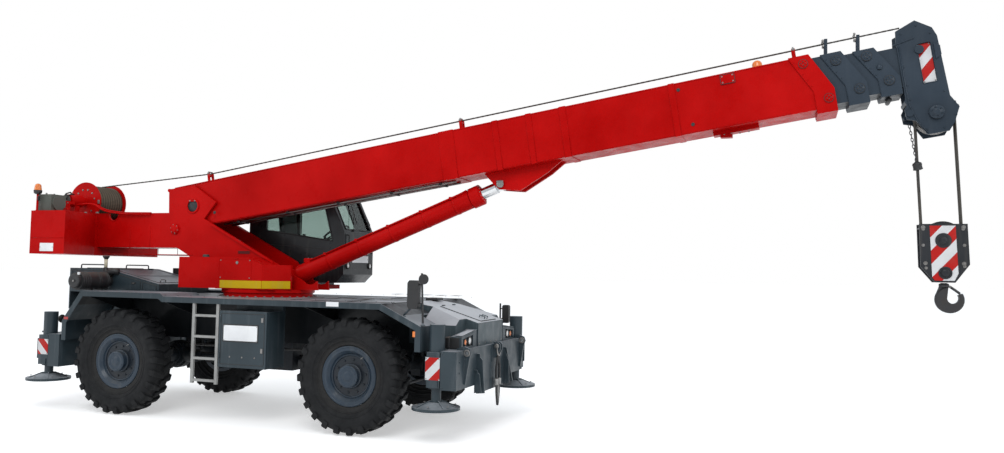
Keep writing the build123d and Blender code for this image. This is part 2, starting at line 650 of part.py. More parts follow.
def turntable_frame():
    """A round base, two side plates from the cylinder's foot to the tail, and their webs."""
    frame = round_z(SLEW_X, 0, BASE_Z, PLATFORM_Z, BASE_R)
    cheek = plate_y(CHEEK, CHEEK_IN, CHEEK_OUT)
    cheek -= round_y(NOTCH_X, CHEEK_IN - 1, CHEEK_OUT + 1, TAIL_TOP - 15, NOTCH_R)
    cheek -= round_y(-959, CHEEK_IN - 1, CHEEK_OUT + 1, 2694, 30)
    cheek += round_y(-1621, CHEEK_OUT, CHEEK_OUT + 22, 2464, 72)
    cheek += round_y(-1758, CHEEK_IN, CHEEK_OUT, 3015, 24)
    # flange along the sloping edge
    cheek += plate_y([(-1005, 2548), (31, 2027), (31, 1993), (-1005, 2514)],
                     CHEEK_OUT, CHEEK_OUT + 26)
    frame += both(cheek)
    floor_t = 15.0
    frame += block(TAIL_REAR_X, -1580, -CHEEK_IN, CHEEK_IN, TAIL_LOW, TAIL_LOW + floor_t)
    frame += block(-2900, -1800, -CHEEK_IN, CHEEK_IN, 2480, 2495)
    frame += plate_y([(-1600, TAIL_LOW), (-1390, 2100), (-790, PLATFORM_Z), (-770, PLATFORM_Z),
                      (-1375, 2112), (-1590, 2215)], -CHEEK_IN, CHEEK_IN)
    frame += block(-1745, -1730, -CHEEK_IN, CHEEK_IN, TAIL_LOW, 2480)
    # bushes and the hollow boom foot pin
    frame += round_y(PIVOT[0], -CHEEK_OUT - 8, CHEEK_OUT + 8, PIVOT[1], PIVOT_R)
    frame -= round_y(PIVOT[0], -CHEEK_OUT - 9, CHEEK_OUT + 9, PIVOT[1], PIVOT_R - 16)
    # cylinder foot: two lugs and their pin
    frame += both(plate_y(FOOT_LUG, LUFF_R + CLEAR, LUFF_R + CLEAR + 30))
    frame += block(-150, -135, -LUFF_R - CLEAR, LUFF_R + CLEAR, PLATFORM_Z, 1680)
    frame += round_y(LUFF_FOOT[0], -LUFF_R - CLEAR - 42, LUFF_R + CLEAR + 42, LUFF_FOOT[1],
                     LUFF_PIN_R)
    # platform that carries the cab
    frame += block(-600, 300, CHEEK_OUT, 1000, PLATFORM_Z, PLATFORM_Z + 60)
    return frame


def oil_tank():
    """The tank beside the right side plate, with a chamfered front corner and sloping top."""
    out = 600.0
    low = PLATFORM_Z + 5
    tank = plate_z([(-1264, -out), (70, -out), (330, -(CHEEK_OUT + 40)), (330, -CHEEK_OUT),
                    (-1264, -CHEEK_OUT)], low, 2070)
    tank -= plate_y([(-159, 2071), (-159, 2070), (70, 1977), (500, 1977), (500, 2071)],
                    -out - 1, -CHEEK_OUT + 1)
    tank += block(-700, 200, -out + 60, -CHEEK_OUT, PLATFORM_Z, low)
    return tank


def counterweight():
    """A slab that wraps round the tail, lower than the tail's floor and longer on the right."""
    inner = [(-3030, 330), (-3030, 0)]
    left = plate_z([(CW_REAR_X, 0), (CW_REAR_X, 600), (-3400, CW_HALF), (-3160, CW_HALF)]
                   + inner, CW_LOW, CW_TOP)
    right = plate_z([(CW_REAR_X, 0), (CW_REAR_X, 600), (-3400, CW_HALF), (-2780, CW_HALF)]
                    + inner, CW_LOW, CW_TOP)
    weight = left + mirror(right, about=Plane.XZ)
    return weight - block(CW_REAR_X + 40, -2900, -CHEEK_OUT - 0.5, CHEEK_OUT + 0.5,
                          TAIL_LOW - 0.5, CW_TOP + 1)


def winch():
    """Two flanges and the wound drum on two stands inside the tail."""
    x, z = WINCH
    inner = CHEEK_IN - 20
    unit = round_y(x, -inner, inner, z, 235)
    for y0 in (-inner - 15, inner):
        unit += round_y(x, y0, y0 + 15, z, WINCH_R)
        unit += plate_y([(x - 170, TAIL_LOW + 15), (x + 170, TAIL_LOW + 15),
                         (x + 130, z - 150), (x - 130, z - 150)], y0, y0 + 15)
    unit += round_y(x, -inner - 15, inner + 40, z, 70)
    return unit


def hydraulic_unit():
    """The winch motor outside the right side plate, its mount and the valve block."""
    x, z = WINCH
    unit = round_y(x, -560, -330, z, 88)
    unit += round_y(x, -330, -CHEEK_IN + 4.5, z, 62)
    unit += round_y(x, -590, -560, z, 55)
    unit += block(x - 60, x + 60, -480, -400, CW_TOP, z)
    unit += block(x + 5, x + 95, -690, -600, CW_TOP, z - 20)
    unit += block(x + 5, x + 95, -600, -520, z - 60, z - 20)
    return unit


COOLER_Z = CW_TOP + 240.0


def oil_cooler():
    """A deep square cooler with a fan ring towards the front."""
    rear = CW_REAR_X + 180
    cooler = block(rear, rear + 240, -960, -715, CW_TOP, COOLER_Z)
    return cooler + round_x(rear + 240, rear + 262, -838, CW_TOP + 122, 108)


def beacon():
    """A flashing lamp on a thin post beside the cooler."""
    x = CW_REAR_X + 210
    post = round_z(x, -1000, CW_TOP, 2955, 13)
    post += round_z(x, -1000, 2955, 2975, 55)
    return post + Pos(x, -1000, 2975) * Cone(50, 34, 95, align=(
        Align.CENTER, Align.CENTER, Align.MIN))


# ---------------------------------------------------------------- cab
CAB_SIDE = [(CAB_REAR_X, CAB_FLOOR), (CAB_FRONT_X - 120, CAB_FLOOR),
            (CAB_FRONT_X, CAB_FLOOR + 120), (CAB_FRONT_X, 2470), (CAB_FRONT_X - 320, CAB_ROOF),
            (CAB_REAR_X, CAB_ROOF)]
WINDOW = [(-560, 2480), (541, 2333), (407, 2800), (330, 3060), (-560, 3060)]
DOOR = [(-620, CAB_FLOOR + 60), (430, CAB_FLOOR + 60), (560, 2300), (560, 2440),
        (240, 3080), (-620, 3080)]
DOOR_WINDOW = [(-530, 2400), (480, 2330), (480, 2420), (205, 2990), (-530, 2990)]
SCREEN_TOP = 3080.0
SCREEN_LOW = 2500.0
REAR_LIGHT = (CAB_IN_Y + 90.0, CAB_OUT_Y - 90.0, 2500.0, 3020.0)
ROOF_LIGHT = (-420.0, 180.0, CAB_IN_Y + 140.0, CAB_OUT_Y - 140.0)


def inset(points, d):
    """The closed outline moved inwards by d, for outlines drawn in the same turn."""
    n = len(points)
    moved = []
    for i, (x, z) in enumerate(points):
        px, pz = points[i - 1]
        nx, nz = points[(i + 1) % n]
        a = atan2(z - pz, x - px)
        b = atan2(nz - z, nx - x)
        half = ((b - a + radians(540)) % radians(360) - radians(180)) / 2
        reach = d / cos(half)
        moved.append((x - reach * sin(a + half), z + reach * cos(a + half)))
    return moved


def cab_shell():
    """The hollow cab: right wall, front, rear and roof with their windows, and a door opening."""
    shell = plate_y(CAB_SIDE, CAB_IN_Y, CAB_OUT_Y)
    shell -= plate_y(inset(CAB_SIDE, CAB_WALL), CAB_IN_Y + CAB_WALL, CAB_OUT_Y - CAB_WALL)
    shell -= plate_y(WINDOW, CAB_IN_Y - 1, CAB_IN_Y + CAB_WALL + 1)
    shell -= plate_y(DOOR, CAB_OUT_Y - CAB_WALL - 1, CAB_OUT_Y + 1)
    # windscreen, rear window and roof light
    shell -= block(CAB_FRONT_X - 420, CAB_FRONT_X + 1, CAB_IN_Y + 60, CAB_OUT_Y - 60,
                   SCREEN_LOW, SCREEN_TOP)
    y0, y1, z0, z1 = REAR_LIGHT
    shell -= block(CAB_REAR_X - 1, CAB_REAR_X + CAB_WALL + 1, y0, y1, z0, z1)
    x0, x1, y0, y1 = ROOF_LIGHT
    shell -= block(x0, x1, y0, y1, CAB_ROOF - CAB_WALL - 1, CAB_ROOF + 1)
    # feet on the platform
    for x in (-500, 200):
        shell += block(x - 50, x + 50, 480, 920, PLATFORM_Z + 60, CAB_FLOOR)
    return shell


def pane(outline, wall_y):
    """Glass in the middle of a side wall whose inner face is at wall_y."""
    mid = wall_y + CAB_WALL / 2
    return plate_y(inset(outline, RUN_FIT), mid - 3, mid + 3)


def cab_glass():
    """Panes seated in the window openings."""
    gap = RUN_FIT
    glass = pane(WINDOW, CAB_IN_Y)
    lean = (CAB_FRONT_X - CAB_SIDE[4][0]) / (CAB_ROOF - CAB_SIDE[3][1])
    screen = [(CAB_FRONT_X - lean * (z - CAB_SIDE[3][1]), z)
              for z in (SCREEN_TOP - 12, SCREEN_LOW + 12)]
    glass += strip(shifted(screen, -17), 6, CAB_IN_Y + 60 + gap, CAB_OUT_Y - 60 - gap)
    y0, y1, z0, z1 = REAR_LIGHT
    glass += block(CAB_REAR_X + 17, CAB_REAR_X + 23, y0 + gap, y1 - gap, z0 + gap, z1 - gap)
    x0, x1, y0, y1 = ROOF_LIGHT
    glass += block(x0 + gap, x1 - gap, y0 + gap, y1 - gap, CAB_ROOF - 23, CAB_ROOF - 17)
    return glass


def cab_door():
    """The outer side door with its window opening, hinged at its rear edge."""
    door = plate_y(inset(DOOR, CLEAR), CAB_OUT_Y - CAB_WALL, CAB_OUT_Y)
    door -= plate_y(DOOR_WINDOW, CAB_OUT_Y - CAB_WALL - 1, CAB_OUT_Y + 1)
    # handle
    return door + block(330, 450, CAB_OUT_Y, CAB_OUT_Y + 18, 2150, 2180)


def door_glass():
    return pane(DOOR_WINDOW, CAB_OUT_Y - CAB_WALL)


def seat():
    cushion = block(-420, 60, 560, 1010, 2120, 2240)
    back = plate_y([(-500, 2240), (-400, 2240), (-450, 2860), (-540, 2860)], 570, 1000)
    rest = plate_y([(-520, 2860), (-455, 2860), (-470, 3000), (-530, 3000)], 680, 890)
    return cushion + back + rest + block(-500, -419, 560, 1010, 2140, 2250)


def cab_controls():
    """The seat's pedestal, two lever pods, and the column with its wheel."""
    floor = CAB_FLOOR + CAB_WALL
    piece = block(-400, 20, 620, 950, floor, 2120)
    for y in (470, 1030):
        piece += block(-380, 40, y, y + 80, floor, 2270)
        piece += round_z(-20, y + 40, 2270, 2400, 10)
        piece += Pos(-20, y + 40, 2410) * Cone(14, 24, 50)
    # wheel on its column
    wheel_at = (345.0, 790.0, 2470.0)
    piece += block(400, 480, 750, 830, floor, floor + 20)
    piece += rod((440.0, 790.0, floor + 10), wheel_at, 26)
    ring = faceted([(176, -12), (194, -12), (200, 0), (194, 12), (176, 12), (170, 0)], 24)
    ring += block(-174, 174, -6, 6, -12, 12)
    piece += Pos(*wheel_at) * Rot(0, -30, 0) * Rot(90, 0, 0) * ring
    return piece


# ---------------------------------------------------------------- boom
def section(level):
    """Half width, low and high W of the boom section of this level, 0 for the base."""
    return (BOOM_HALF - level * SECTION_STEP, BOOM_LOW + level * SECTION_STEP,
            BOOM_HIGH - level * SECTION_STEP)


def boom_tube(level, u0, u1):
    half, low, high = section(level)
    tube = block(u0, u1, -half, half, low, high)
    return tube - block(u0 - 1, u1 + 1, -half + BOOM_T, half - BOOM_T, low + BOOM_T,
                        high - BOOM_T)


def collar_front(level):
    return COLLAR_U + level * COLLAR_PITCH + COLLAR_L + COLLAR_SLANT


def collar(level):
    """A band round a section's end: it leans forward to a knee and then drops straight."""
    half, low, high = section(level)
    rear = COLLAR_U + level * COLLAR_PITCH
    top = high + COLLAR_PROUD
    bottom = low - 4 * COLLAR_PROUD
    front = collar_front(level)
    outline = [(rear, top), (rear + COLLAR_L, top), (front, COLLAR_KNEE_W), (front, bottom),
               (front - COLLAR_L, bottom), (front - COLLAR_L, COLLAR_KNEE_W)]
    wide = half + COLLAR_PROUD
    band = plate_y(outline, -wide, wide)
    return band - block(rear - 1, front + 1, -half + BOOM_T, half - BOOM_T, low + BOOM_T,
                        high - BOOM_T)


def boom_section(level, u_rear):
    """A section's tube, cut off along its collar's leaning front edge, with the collar."""
    half, low, high = section(level)
    front = collar_front(level)
    tube = boom_tube(level, u_rear, front)
    ahead = plate_y([(front - COLLAR_SLANT, high + COLLAR_PROUD), (front, COLLAR_KNEE_W),
                     (front + 1, COLLAR_KNEE_W), (front + 1, high + COLLAR_PROUD)],
                    -half - 1, half + 1)
    return tube - ahead + collar(level)


def band(level, u0, u1):
    """A doubler round the whole of a section."""
    half, low, high = section(level)
    ring = block(u0, u1, -half - 6, half + 6, low - 6, high + 6)
    return ring - block(u0 - 1, u1 + 1, 1 - half, half - 1, low + 1, high - 1)


def pad_caps(level, places):
    """Round covers of the sliding pads on both sides of a collar, at the given U and W."""
    face = section(level)[0] + COLLAR_PROUD
    caps = [round_y(u, face, face + 9, w, PAD_CAP_R) for u, w in places]
    return both(Part() + caps)


def rope_guide(level, u):
    """Two posts with a roller between them on top of a section."""
    top = section(level)[2]
    foot = top + COLLAR_PROUD - 1 if u > COLLAR_U else top - 1
    guide = both(block(u - 20, u + 20, 38, 48, foot, top + POST_H))
    return guide + round_y(u, -38, 38, ROPE_W - ROPE_R - 20, 18)


def boom_base():
    """The outer section with its foot and its cylinder bracket."""
    base = boom_section(0, BOOM_REAR_U)
    half, low, high = section(0)
    for u0, u1 in ((3800, 4000), (4530, 4600), (4970, 5040), (5400, 5480), (6720, 6790)):
        base += band(0, u0, u1)
    base += pad_caps(0, [(8199, 238), (8400, -188)])
    # foot bosses round the pin
    base += both(round_y(0, half - BOOM_T, CHEEK_IN - CLEAR, 0, 150))
    base -= round_y(0, -300, 300, 0, PIVOT_R + RUN_FIT)
    # cheeks of the cylinder bracket
    u, w = LUFF_EYE
    cheek = plate_y([(u - 190, low + BOOM_T), (u - 190, low), (u - 90, w + 15), (u - 30, w - 60),
                     (u + 118, w - 95), (u + 244, w - 124), (u + 626, w + 38), (u + 830, low),
                     (u + 830, low + BOOM_T)], 82, 112)
    cheek += round_y(u, 82, 127, w, LUFF_PIN_R + 15)
    base += both(cheek)
    # rope guides, the top lamp's dome and a bracket under the middle
    for u in (120, 4050, 8130):
        base += rope_guide(0, u)
    base += round_z(7725, 0, high - 1, high + 70, 45)
    base += Pos(7725, 0, high + 88) * Cone(45, 25, 36)
    base += block(7130, 7640, -70, 70, low - 48, low + 1)
    base += both(block(7310, 7465, half - 1, half + 8, 200, 300))
    return base


HEAD_OUTLINE = [(-210, 272), (-195, 401), (5, 480), (157, 367), (192, 268), (208, -387),
                (276, -519), (208, -670), (144, -753), (-67, -754), (-150, -590), (-235, -560),
                (-240, -450), (-215, -413)]


def boom_head():
    """The fourth section, ending in the head's two side plates."""
    half, low, high = section(3)
    head = boom_tube(3, 430.0, HEAD_U + 40)
    head -= block(HEAD_U - 200, HEAD_U + 41, -half + BOOM_T, half - BOOM_T, low - 1, high + 1)
    plate = plate_y([(HEAD_U + u, w) for u, w in HEAD_OUTLINE], half, half + HEAD_T)
    plate -= block(HEAD_U - 15, HEAD_U + 118, half - 1, half + HEAD_T + 1, -210, 220)
    plate += block(HEAD_U - 25, HEAD_U + 128, half - 6, half + 0.5, -220, 230)
    # stiffening rim along the top edge
    plate += plate_y([(HEAD_U - 242, 264), (HEAD_U - 31, 303), (HEAD_U - 31, 288),
                      (HEAD_U - 242, 249)], half, half + HEAD_T + 8)
    head += both(plate)
    head += block(HEAD_U - 222, HEAD_U - 212, -half, half, low, high)
    pin = half + HEAD_T + 15
    for u, w in ((HEAD_U, HIGH_SHEAVE_W), (LOW_SHEAVE_U, LOW_SHEAVE_W)):
        head += round_y(u, -pin, pin, w, HEAD_PIN_R)
    head += both(round_y(LOW_SHEAVE_U, half + HEAD_T, pin + 6, LOW_SHEAVE_W, 73))
    # guard rod over the rope, and the roller of the lower rope guide
    for u, w, r in ((HEAD_U + 130, 352, 20), (HEAD_U - 195, -370, 32)):
        head += round_y(u, -half - HEAD_T, half + HEAD_T, w, r)
    head += both(round_y(HEAD_U - 197, half - 60, half + HEAD_T + 12, -500, 38))
    return head


def sheave(x, y, z):
    """A grooved rope sheave whose rope runs at SHEAVE_R."""
    groove = SHEAVE_R - ROPE_R - 2
    rim_r = SHEAVE_R + 14
    profile = [(HEAD_PIN_R + RUN_FIT, -20), (rim_r, -20), (rim_r, -17), (groove, -ROPE_R - 2),
               (groove, ROPE_R + 2), (rim_r, 17), (rim_r, 20), (HEAD_PIN_R + RUN_FIT, 20)]
    face = Face(Wire.make_polygon([Vector(r, w, 0) for r, w in profile]))
    return Pos(x, y, z) * revolve(face, axis=Axis.Y)


def head_sheaves():
    """Rope sheaves in the head, one high and three low."""
    wheels = sheave(HEAD_U, 0, HIGH_SHEAVE_W)
    for y in SHEAVE_Y:
        wheels += sheave(LOW_SHEAVE_U, y, LOW_SHEAVE_W)
    return wheels


# ---------------------------------------------------------------- luffing cylinder
def luff_barrel():
    """Drawn along +X from its foot pin."""
    barrel = round_x(110, LUFF_BARREL, 0, 0, LUFF_R)
    barrel += block(0, 111, -60, 60, -80, 80)
    barrel += round_y(0, -90, 90, 0, 95)
    barrel -= round_y(0, -91, 91, 0, LUFF_PIN_R + RUN_FIT)
    barrel -= round_x(150, LUFF_BARREL + 1, 0, 0, LUFF_ROD_R + RUN_FIT)
    barrel += round_x(LUFF_BARREL - 130, LUFF_BARREL, 0, 0, LUFF_R + 14) - round_x(
        LUFF_BARREL - 131, LUFF_BARREL + 1, 0, 0, LUFF_R - 1)
    return barrel


def luff_rod():
    rod = round_x(340, LUFF_LENGTH - 90, 0, 0, LUFF_ROD_R)
    neck = block(LUFF_LENGTH - 91, LUFF_LENGTH, -55, 55, -50, 50)
    eye = round_y(LUFF_LENGTH, -60, 60, 0, 62)
    return rod + neck + eye


# ---------------------------------------------------------------- hook
def hook_block():
    """Two side plates round the sheaves, with the trunnion below."""
    x, z = BLOCK
    outline = [(x - 228, z + 175), (x + 228, z + 175), (x + 245, z - 250), (x + 108, z - 440),
               (x - 85, z - 440), (x - 215, z - 280)]
    half = BLOCK_HALF
    piece = both(plate_y(outline, half, half + 22))
    pin = half + 36
    piece += round_y(x, -pin, pin, z, HEAD_PIN_R)
    piece += round_y(SHANK_X, -pin, pin, z - 339, 45)
    piece += both(round_y(x, half + 22, half + 30, z, 78))
    piece += block(x - 70, x + 95, -half, half, z - 430, z - 300)
    # rods that keep the ropes on the sheaves
    for u, w in ((-217, 130), (217, 130), (-190, -215), (215, -215)):
        piece += round_y(x + u, -half, half, z + w, 10)
    for y in SHEAVE_Y:
        piece += sheave(x, y, z)
    return piece


def hook_falls():
    """The rope's parts between the head and the block."""
    x, z = BLOCK
    top_x, top_z = HEAD_SHEAVE
    falls = Part()
    for y in SHEAVE_Y:
        for side in (-1, 1):
            falls += rod((x + side * SHEAVE_R, y, z), (top_x + side * SHEAVE_R, y, top_z), ROPE_R)
    return falls


def hook():
    """A flat forged hook: a shank, a round bowl with its throat, and the latch."""
    x = SHANK_X
    top = HOOK_TOP
    throat_x, throat_z = THROAT
    bowl_x = throat_x - 31
    bowl_z = throat_z - 16
    half = HOOK_T / 2
    bevel = 12.0
    body = round_y(bowl_x, bevel - half, half - bevel, bowl_z, HOOK_R)
    body += both(Pos(bowl_x, half - bevel / 2, bowl_z) * Rot(-90, 0, 0)
                 * Cone(HOOK_R, HOOK_R - bevel, bevel))
    body += plate_y([(x - 38, top - 20), (x + 38, top - 20), (x + 60, top - 70),
                     (bowl_x + HOOK_R - 15, bowl_z + 40), (bowl_x, bowl_z - 60),
                     (bowl_x - HOOK_R + 2, bowl_z + 10), (bowl_x - HOOK_R + 14, bowl_z + 60)],
                    bevel - half, half - bevel)
    r = HOOK_THROAT_R
    hole = round_y(throat_x, -half - 1, half + 1, throat_z, r)
    hole += plate_y([(throat_x - r + 1, throat_z + 8), (throat_x - 42, throat_z + 126),
                     (throat_x - 22, throat_z + 128), (throat_x + 40, throat_z + 40)],
                    -half - 1, half + 1)
    # mouth between the shank and the tip
    hole += plate_y([(throat_x - 22, throat_z + 60), (throat_x - 24, throat_z + 140),
                     (throat_x + 90, throat_z + 190), (throat_x + 110, throat_z + 60),
                     (throat_x + 40, throat_z + 30)], -half - 1, half + 1)
    body -= hole
    # latch, and the neck that turns in the block
    body += plate_y([(throat_x - 40, throat_z + 118), (throat_x - 20, throat_z + 128),
                     (throat_x + 76, throat_z + 56), (throat_x + 62, throat_z + 40)], -12, 12)
    body += round_z(x, 0, top - 30, top, 34)
    return body


# ---------------------------------------------------------------- the nodes
nodes = {
    "chassis_frame": chassis_frame(),
    "deck": deck(),
    "outrigger_boxes": outrigger_boxes(),
    "engine_hood": engine_hood(),
    "engine_block": engine_block(),
    "nose_cowl": nose_cowl(),
    "nose_hatch": nose_hatch(),
    "axles": axles(),
    "driveline": driveline(),
    "ladders": ladders(),
    "side_boxes": side_boxes(),
    "mirrors": mirrors(),
    "lamps": lamps(),
    "air_cleaner": air_cleaner(),
    "slew_ring": slew_ring(),
    "tie_rod_front": tie_rod(1),
    "tie_rod_rear": tie_rod(-1),
    "turntable_frame": turntable_frame(),
    "oil_tank": oil_tank(),
    "counterweight": counterweight(),
    "winch": winch(),
    "hydraulic_unit": hydraulic_unit(),
    "oil_cooler": oil_cooler(),
    "beacon": beacon(),
    "cab_shell": cab_shell(),
    "cab_glass": cab_glass(),
    "cab_door": cab_door(),
    "door_glass": door_glass(),
    "seat": seat(),
    "cab_controls": cab_controls(),
    "boom_base": BOOM * boom_base(),
    "boom_section_2": BOOM * boom_section(1, 310.0),
    "boom_section_3": BOOM * boom_section(2, 370.0),
    "boom_head": BOOM * boom_head(),
    "head_sheaves": BOOM * head_sheaves(),
    "luff_barrel": LUFF * luff_barrel(),
    "luff_rod": LUFF * luff_rod(),
    "hook_block": hook_block(),
    "hook_falls": hook_falls(),
    "hook": hook(),
}
for name, end, side in CORNERS:
    nodes["knuckle_" + name] = knuckle(end, side)
    nodes["rim_" + name] = rim(end, side)
    nodes["tyre_" + name] = tyre(end, side)
    nodes["beam_" + name] = outrigger_beam(end, side)
    nodes["jack_" + name] = outrigger_jack(end, side)

boxes = [piece.bounding_box() for piece in nodes.values()]
MIDDLE_X = (min(b.min.X for b in boxes) + max(b.max.X for b in boxes)) / 2
os.makedirs("parts", exist_ok=True)
for name, piece in nodes.items():
    export_step(Pos(-MIDDLE_X, 0, 0) * piece, os.path.join("parts", name + ".step"))
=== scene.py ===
import bpy
import bmesh
import json
from math import sin, cos, atan2, radians, pi
from mathutils import Matrix, Vector


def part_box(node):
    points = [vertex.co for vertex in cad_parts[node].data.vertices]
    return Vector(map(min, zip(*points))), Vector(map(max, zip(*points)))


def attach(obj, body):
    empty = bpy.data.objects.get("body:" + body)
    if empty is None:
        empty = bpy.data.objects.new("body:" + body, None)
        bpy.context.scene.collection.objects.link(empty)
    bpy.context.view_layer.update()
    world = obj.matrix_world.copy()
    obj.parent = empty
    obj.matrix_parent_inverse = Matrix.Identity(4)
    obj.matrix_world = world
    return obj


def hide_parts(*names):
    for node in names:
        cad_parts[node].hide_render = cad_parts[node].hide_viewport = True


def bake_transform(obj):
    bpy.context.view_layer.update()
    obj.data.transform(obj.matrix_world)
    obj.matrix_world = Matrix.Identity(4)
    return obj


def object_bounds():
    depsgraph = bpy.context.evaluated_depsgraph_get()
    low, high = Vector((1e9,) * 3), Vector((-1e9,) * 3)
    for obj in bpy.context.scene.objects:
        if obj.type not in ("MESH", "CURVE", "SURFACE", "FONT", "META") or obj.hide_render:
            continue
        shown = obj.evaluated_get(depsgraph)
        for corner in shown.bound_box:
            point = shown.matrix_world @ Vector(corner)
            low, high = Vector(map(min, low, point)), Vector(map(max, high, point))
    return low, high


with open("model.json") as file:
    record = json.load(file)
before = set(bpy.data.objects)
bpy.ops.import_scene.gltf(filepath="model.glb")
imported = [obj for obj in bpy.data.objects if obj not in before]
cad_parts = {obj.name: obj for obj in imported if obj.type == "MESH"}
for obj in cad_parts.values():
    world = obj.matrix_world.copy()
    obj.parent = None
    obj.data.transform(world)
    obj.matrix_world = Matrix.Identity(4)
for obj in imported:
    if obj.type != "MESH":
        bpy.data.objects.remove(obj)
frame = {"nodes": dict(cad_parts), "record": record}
CAD_BOX = [list(v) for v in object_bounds()]
NODES = frame["nodes"]


def middle(node):
    low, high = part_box(node)
    return (low + high) / 2


# the source's X starts at mid-wheelbase, the row's at the middle of the whole length
OX = (middle("tyre_front_right").x + middle("tyre_rear_right").x) / 2
HUB_X = middle("tyre_front_right").x - OX
HUB_Z = middle("tyre_front_right").z


def at(x, y, z):
    """A point given in the source's metres, in the row frame."""
    return Vector((x + OX, y, z))


# the source's planes and centres that fittings stand on
DECK_TOP = 1.5505
REAR_WALL = -3.0045
BOX_WALL, DECK_EDGE = 1.2400, 1.2500
WINCH_X, WINCH_Z = -3.33, 2.87
PIVOT = (-1.33, 2.79)
BOOM_ANGLE = radians(8.8)
COS_B, SIN_B = cos(BOOM_ANGLE), sin(BOOM_ANGLE)


def on_boom(u, w, y=0.0):
    """A point u along the boom from its foot pin and w above the pin's line."""
    return at(PIVOT[0] + u * COS_B - w * SIN_B, y, PIVOT[1] + u * SIN_B + w * COS_B)


# ---------------------------------------------------------------- materials
def link(tree, a, b):
    tree.links.new(a, b)


class Shader:
    """A small helper round one material's node tree."""

    def __init__(self, name):
        self.mat = bpy.data.materials.new(name)
        self.mat.use_nodes = True
        self.tree = self.mat.node_tree
        self.tree.nodes.clear()
        self.out = self.tree.nodes.new("ShaderNodeOutputMaterial")
        self.bsdf = self.tree.nodes.new("ShaderNodeBsdfPrincipled")
        link(self.tree, self.bsdf.outputs[0], self.out.inputs[0])
        self.coord = self.tree.nodes.new("ShaderNodeTexCoord").outputs["Object"]

    def node(self, kind, **values):
        n = self.tree.nodes.new(kind)
        for key, value in values.items():
            setattr(n, key, value)
        return n

    def set(self, **values):
        for key, value in values.items():
            self.bsdf.inputs[key.replace("_", " ")].default_value = value
        return self

    def mapped(self, scale=(1, 1, 1), rotation=(0, 0, 0), location=(0, 0, 0)):
        m = self.node("ShaderNodeMapping")
        m.inputs["Scale"].default_value = scale
        m.inputs["Rotation"].default_value = rotation
        m.inputs["Location"].default_value = location
        link(self.tree, self.coord, m.inputs["Vector"])
        return m.outputs[0]

    def noise(self, scale, detail=4.0, rough=0.55, vector=None):
        n = self.node("ShaderNodeTexNoise")
        n.inputs["Scale"].default_value = scale
        n.inputs["Detail"].default_value = detail
        n.inputs["Roughness"].default_value = rough
        link(self.tree, vector or self.coord, n.inputs["Vector"])
        return n.outputs["Fac"]

    def ramp(self, fac, stops):
        r = self.node("ShaderNodeValToRGB")
        e = r.color_ramp.elements
        e[0].position, e[0].color = stops[0][0], grey(stops[0][1])
        e[1].position, e[1].color = stops[-1][0], grey(stops[-1][1])
        for position, value in stops[1:-1]:
            e.new(position).color = grey(value)
        link(self.tree, fac, r.inputs[0])
        return r.outputs[0]

    def math(self, operation, a, b=None):
        m = self.node("ShaderNodeMath", operation=operation)
        for i, value in enumerate((a, b)):
            if value is None:
                continue
            if isinstance(value, (int, float)):
                m.inputs[i].default_value = value
            else:
                link(self.tree, value, m.inputs[i])
        return m.outputs[0]

    def times(self, a, b):
        return self.math("MULTIPLY", a, b)

    def mix(self, fac, a, b):
        m = self.node("ShaderNodeMix", data_type="RGBA")
        for socket, value in ((m.inputs[0], fac), (m.inputs[6], a), (m.inputs[7], b)):
            if isinstance(value, (int, float)):
                socket.default_value = value
            elif isinstance(value, (tuple, list)):
                socket.default_value = (*value[:3], 1)
            else:
                link(self.tree, value, socket)
        return m.outputs[2]

    def laid(self, shade, mask, amount, colour):
        """The shade with so much of a colour laid on where the mask says."""
        return self.mix(self.times(mask, amount), shade, colour)

    def wave(self, direction, scale):
        w = self.node("ShaderNodeTexWave", wave_type="BANDS", bands_direction=direction)
        w.inputs["Scale"].default_value = scale
        link(self.tree, self.coord, w.inputs["Vector"])
        return w.outputs["Fac"]

    def colour(self, value):
        link(self.tree, value, self.bsdf.inputs["Base Color"])

    def rough(self, value):
        link(self.tree, value, self.bsdf.inputs["Roughness"])

    def bump(self, height, strength, distance=0.002, normal=None):
        b = self.node("ShaderNodeBump")
        b.inputs["Strength"].default_value = strength
        b.inputs["Distance"].default_value = distance
        link(self.tree, height, b.inputs["Height"])
        if normal is not None:
            link(self.tree, normal, b.inputs["Normal"])
        link(self.tree, b.outputs[0], self.bsdf.inputs["Normal"])
        return b.outputs[0]

    def up(self):
        """How far the surface faces the sky, 0 to 1."""
        g = self.node("ShaderNodeNewGeometry")
        s = self.node("ShaderNodeSeparateXYZ")
        link(self.tree, g.outputs["Normal"], s.inputs[0])
        return s.outputs["Z"]

    def axis(self, name):
        s = self.node("ShaderNodeSeparateXYZ")
        link(self.tree, self.coord, s.inputs[0])
        return s.outputs[name]

    def radius(self, x):
        """The distance from the axis of the wheels at x."""
        dx = self.math("SUBTRACT", self.axis("X"), x + OX)
        dz = self.math("SUBTRACT", self.axis("Z"), HUB_Z)
        return self.math("SQRT", self.math("ADD", self.times(dx, dx), self.times(dz, dz)))


def grey(value):
    return (*value, 1) if isinstance(value, (tuple, list)) else (value, value, value, 1)


# how far the wheel arches reach: out from the middle, up, and to front and rear
ARCH_Y, ARCH_TOP, ARCH_X = 1.236, 1.545, 2.42


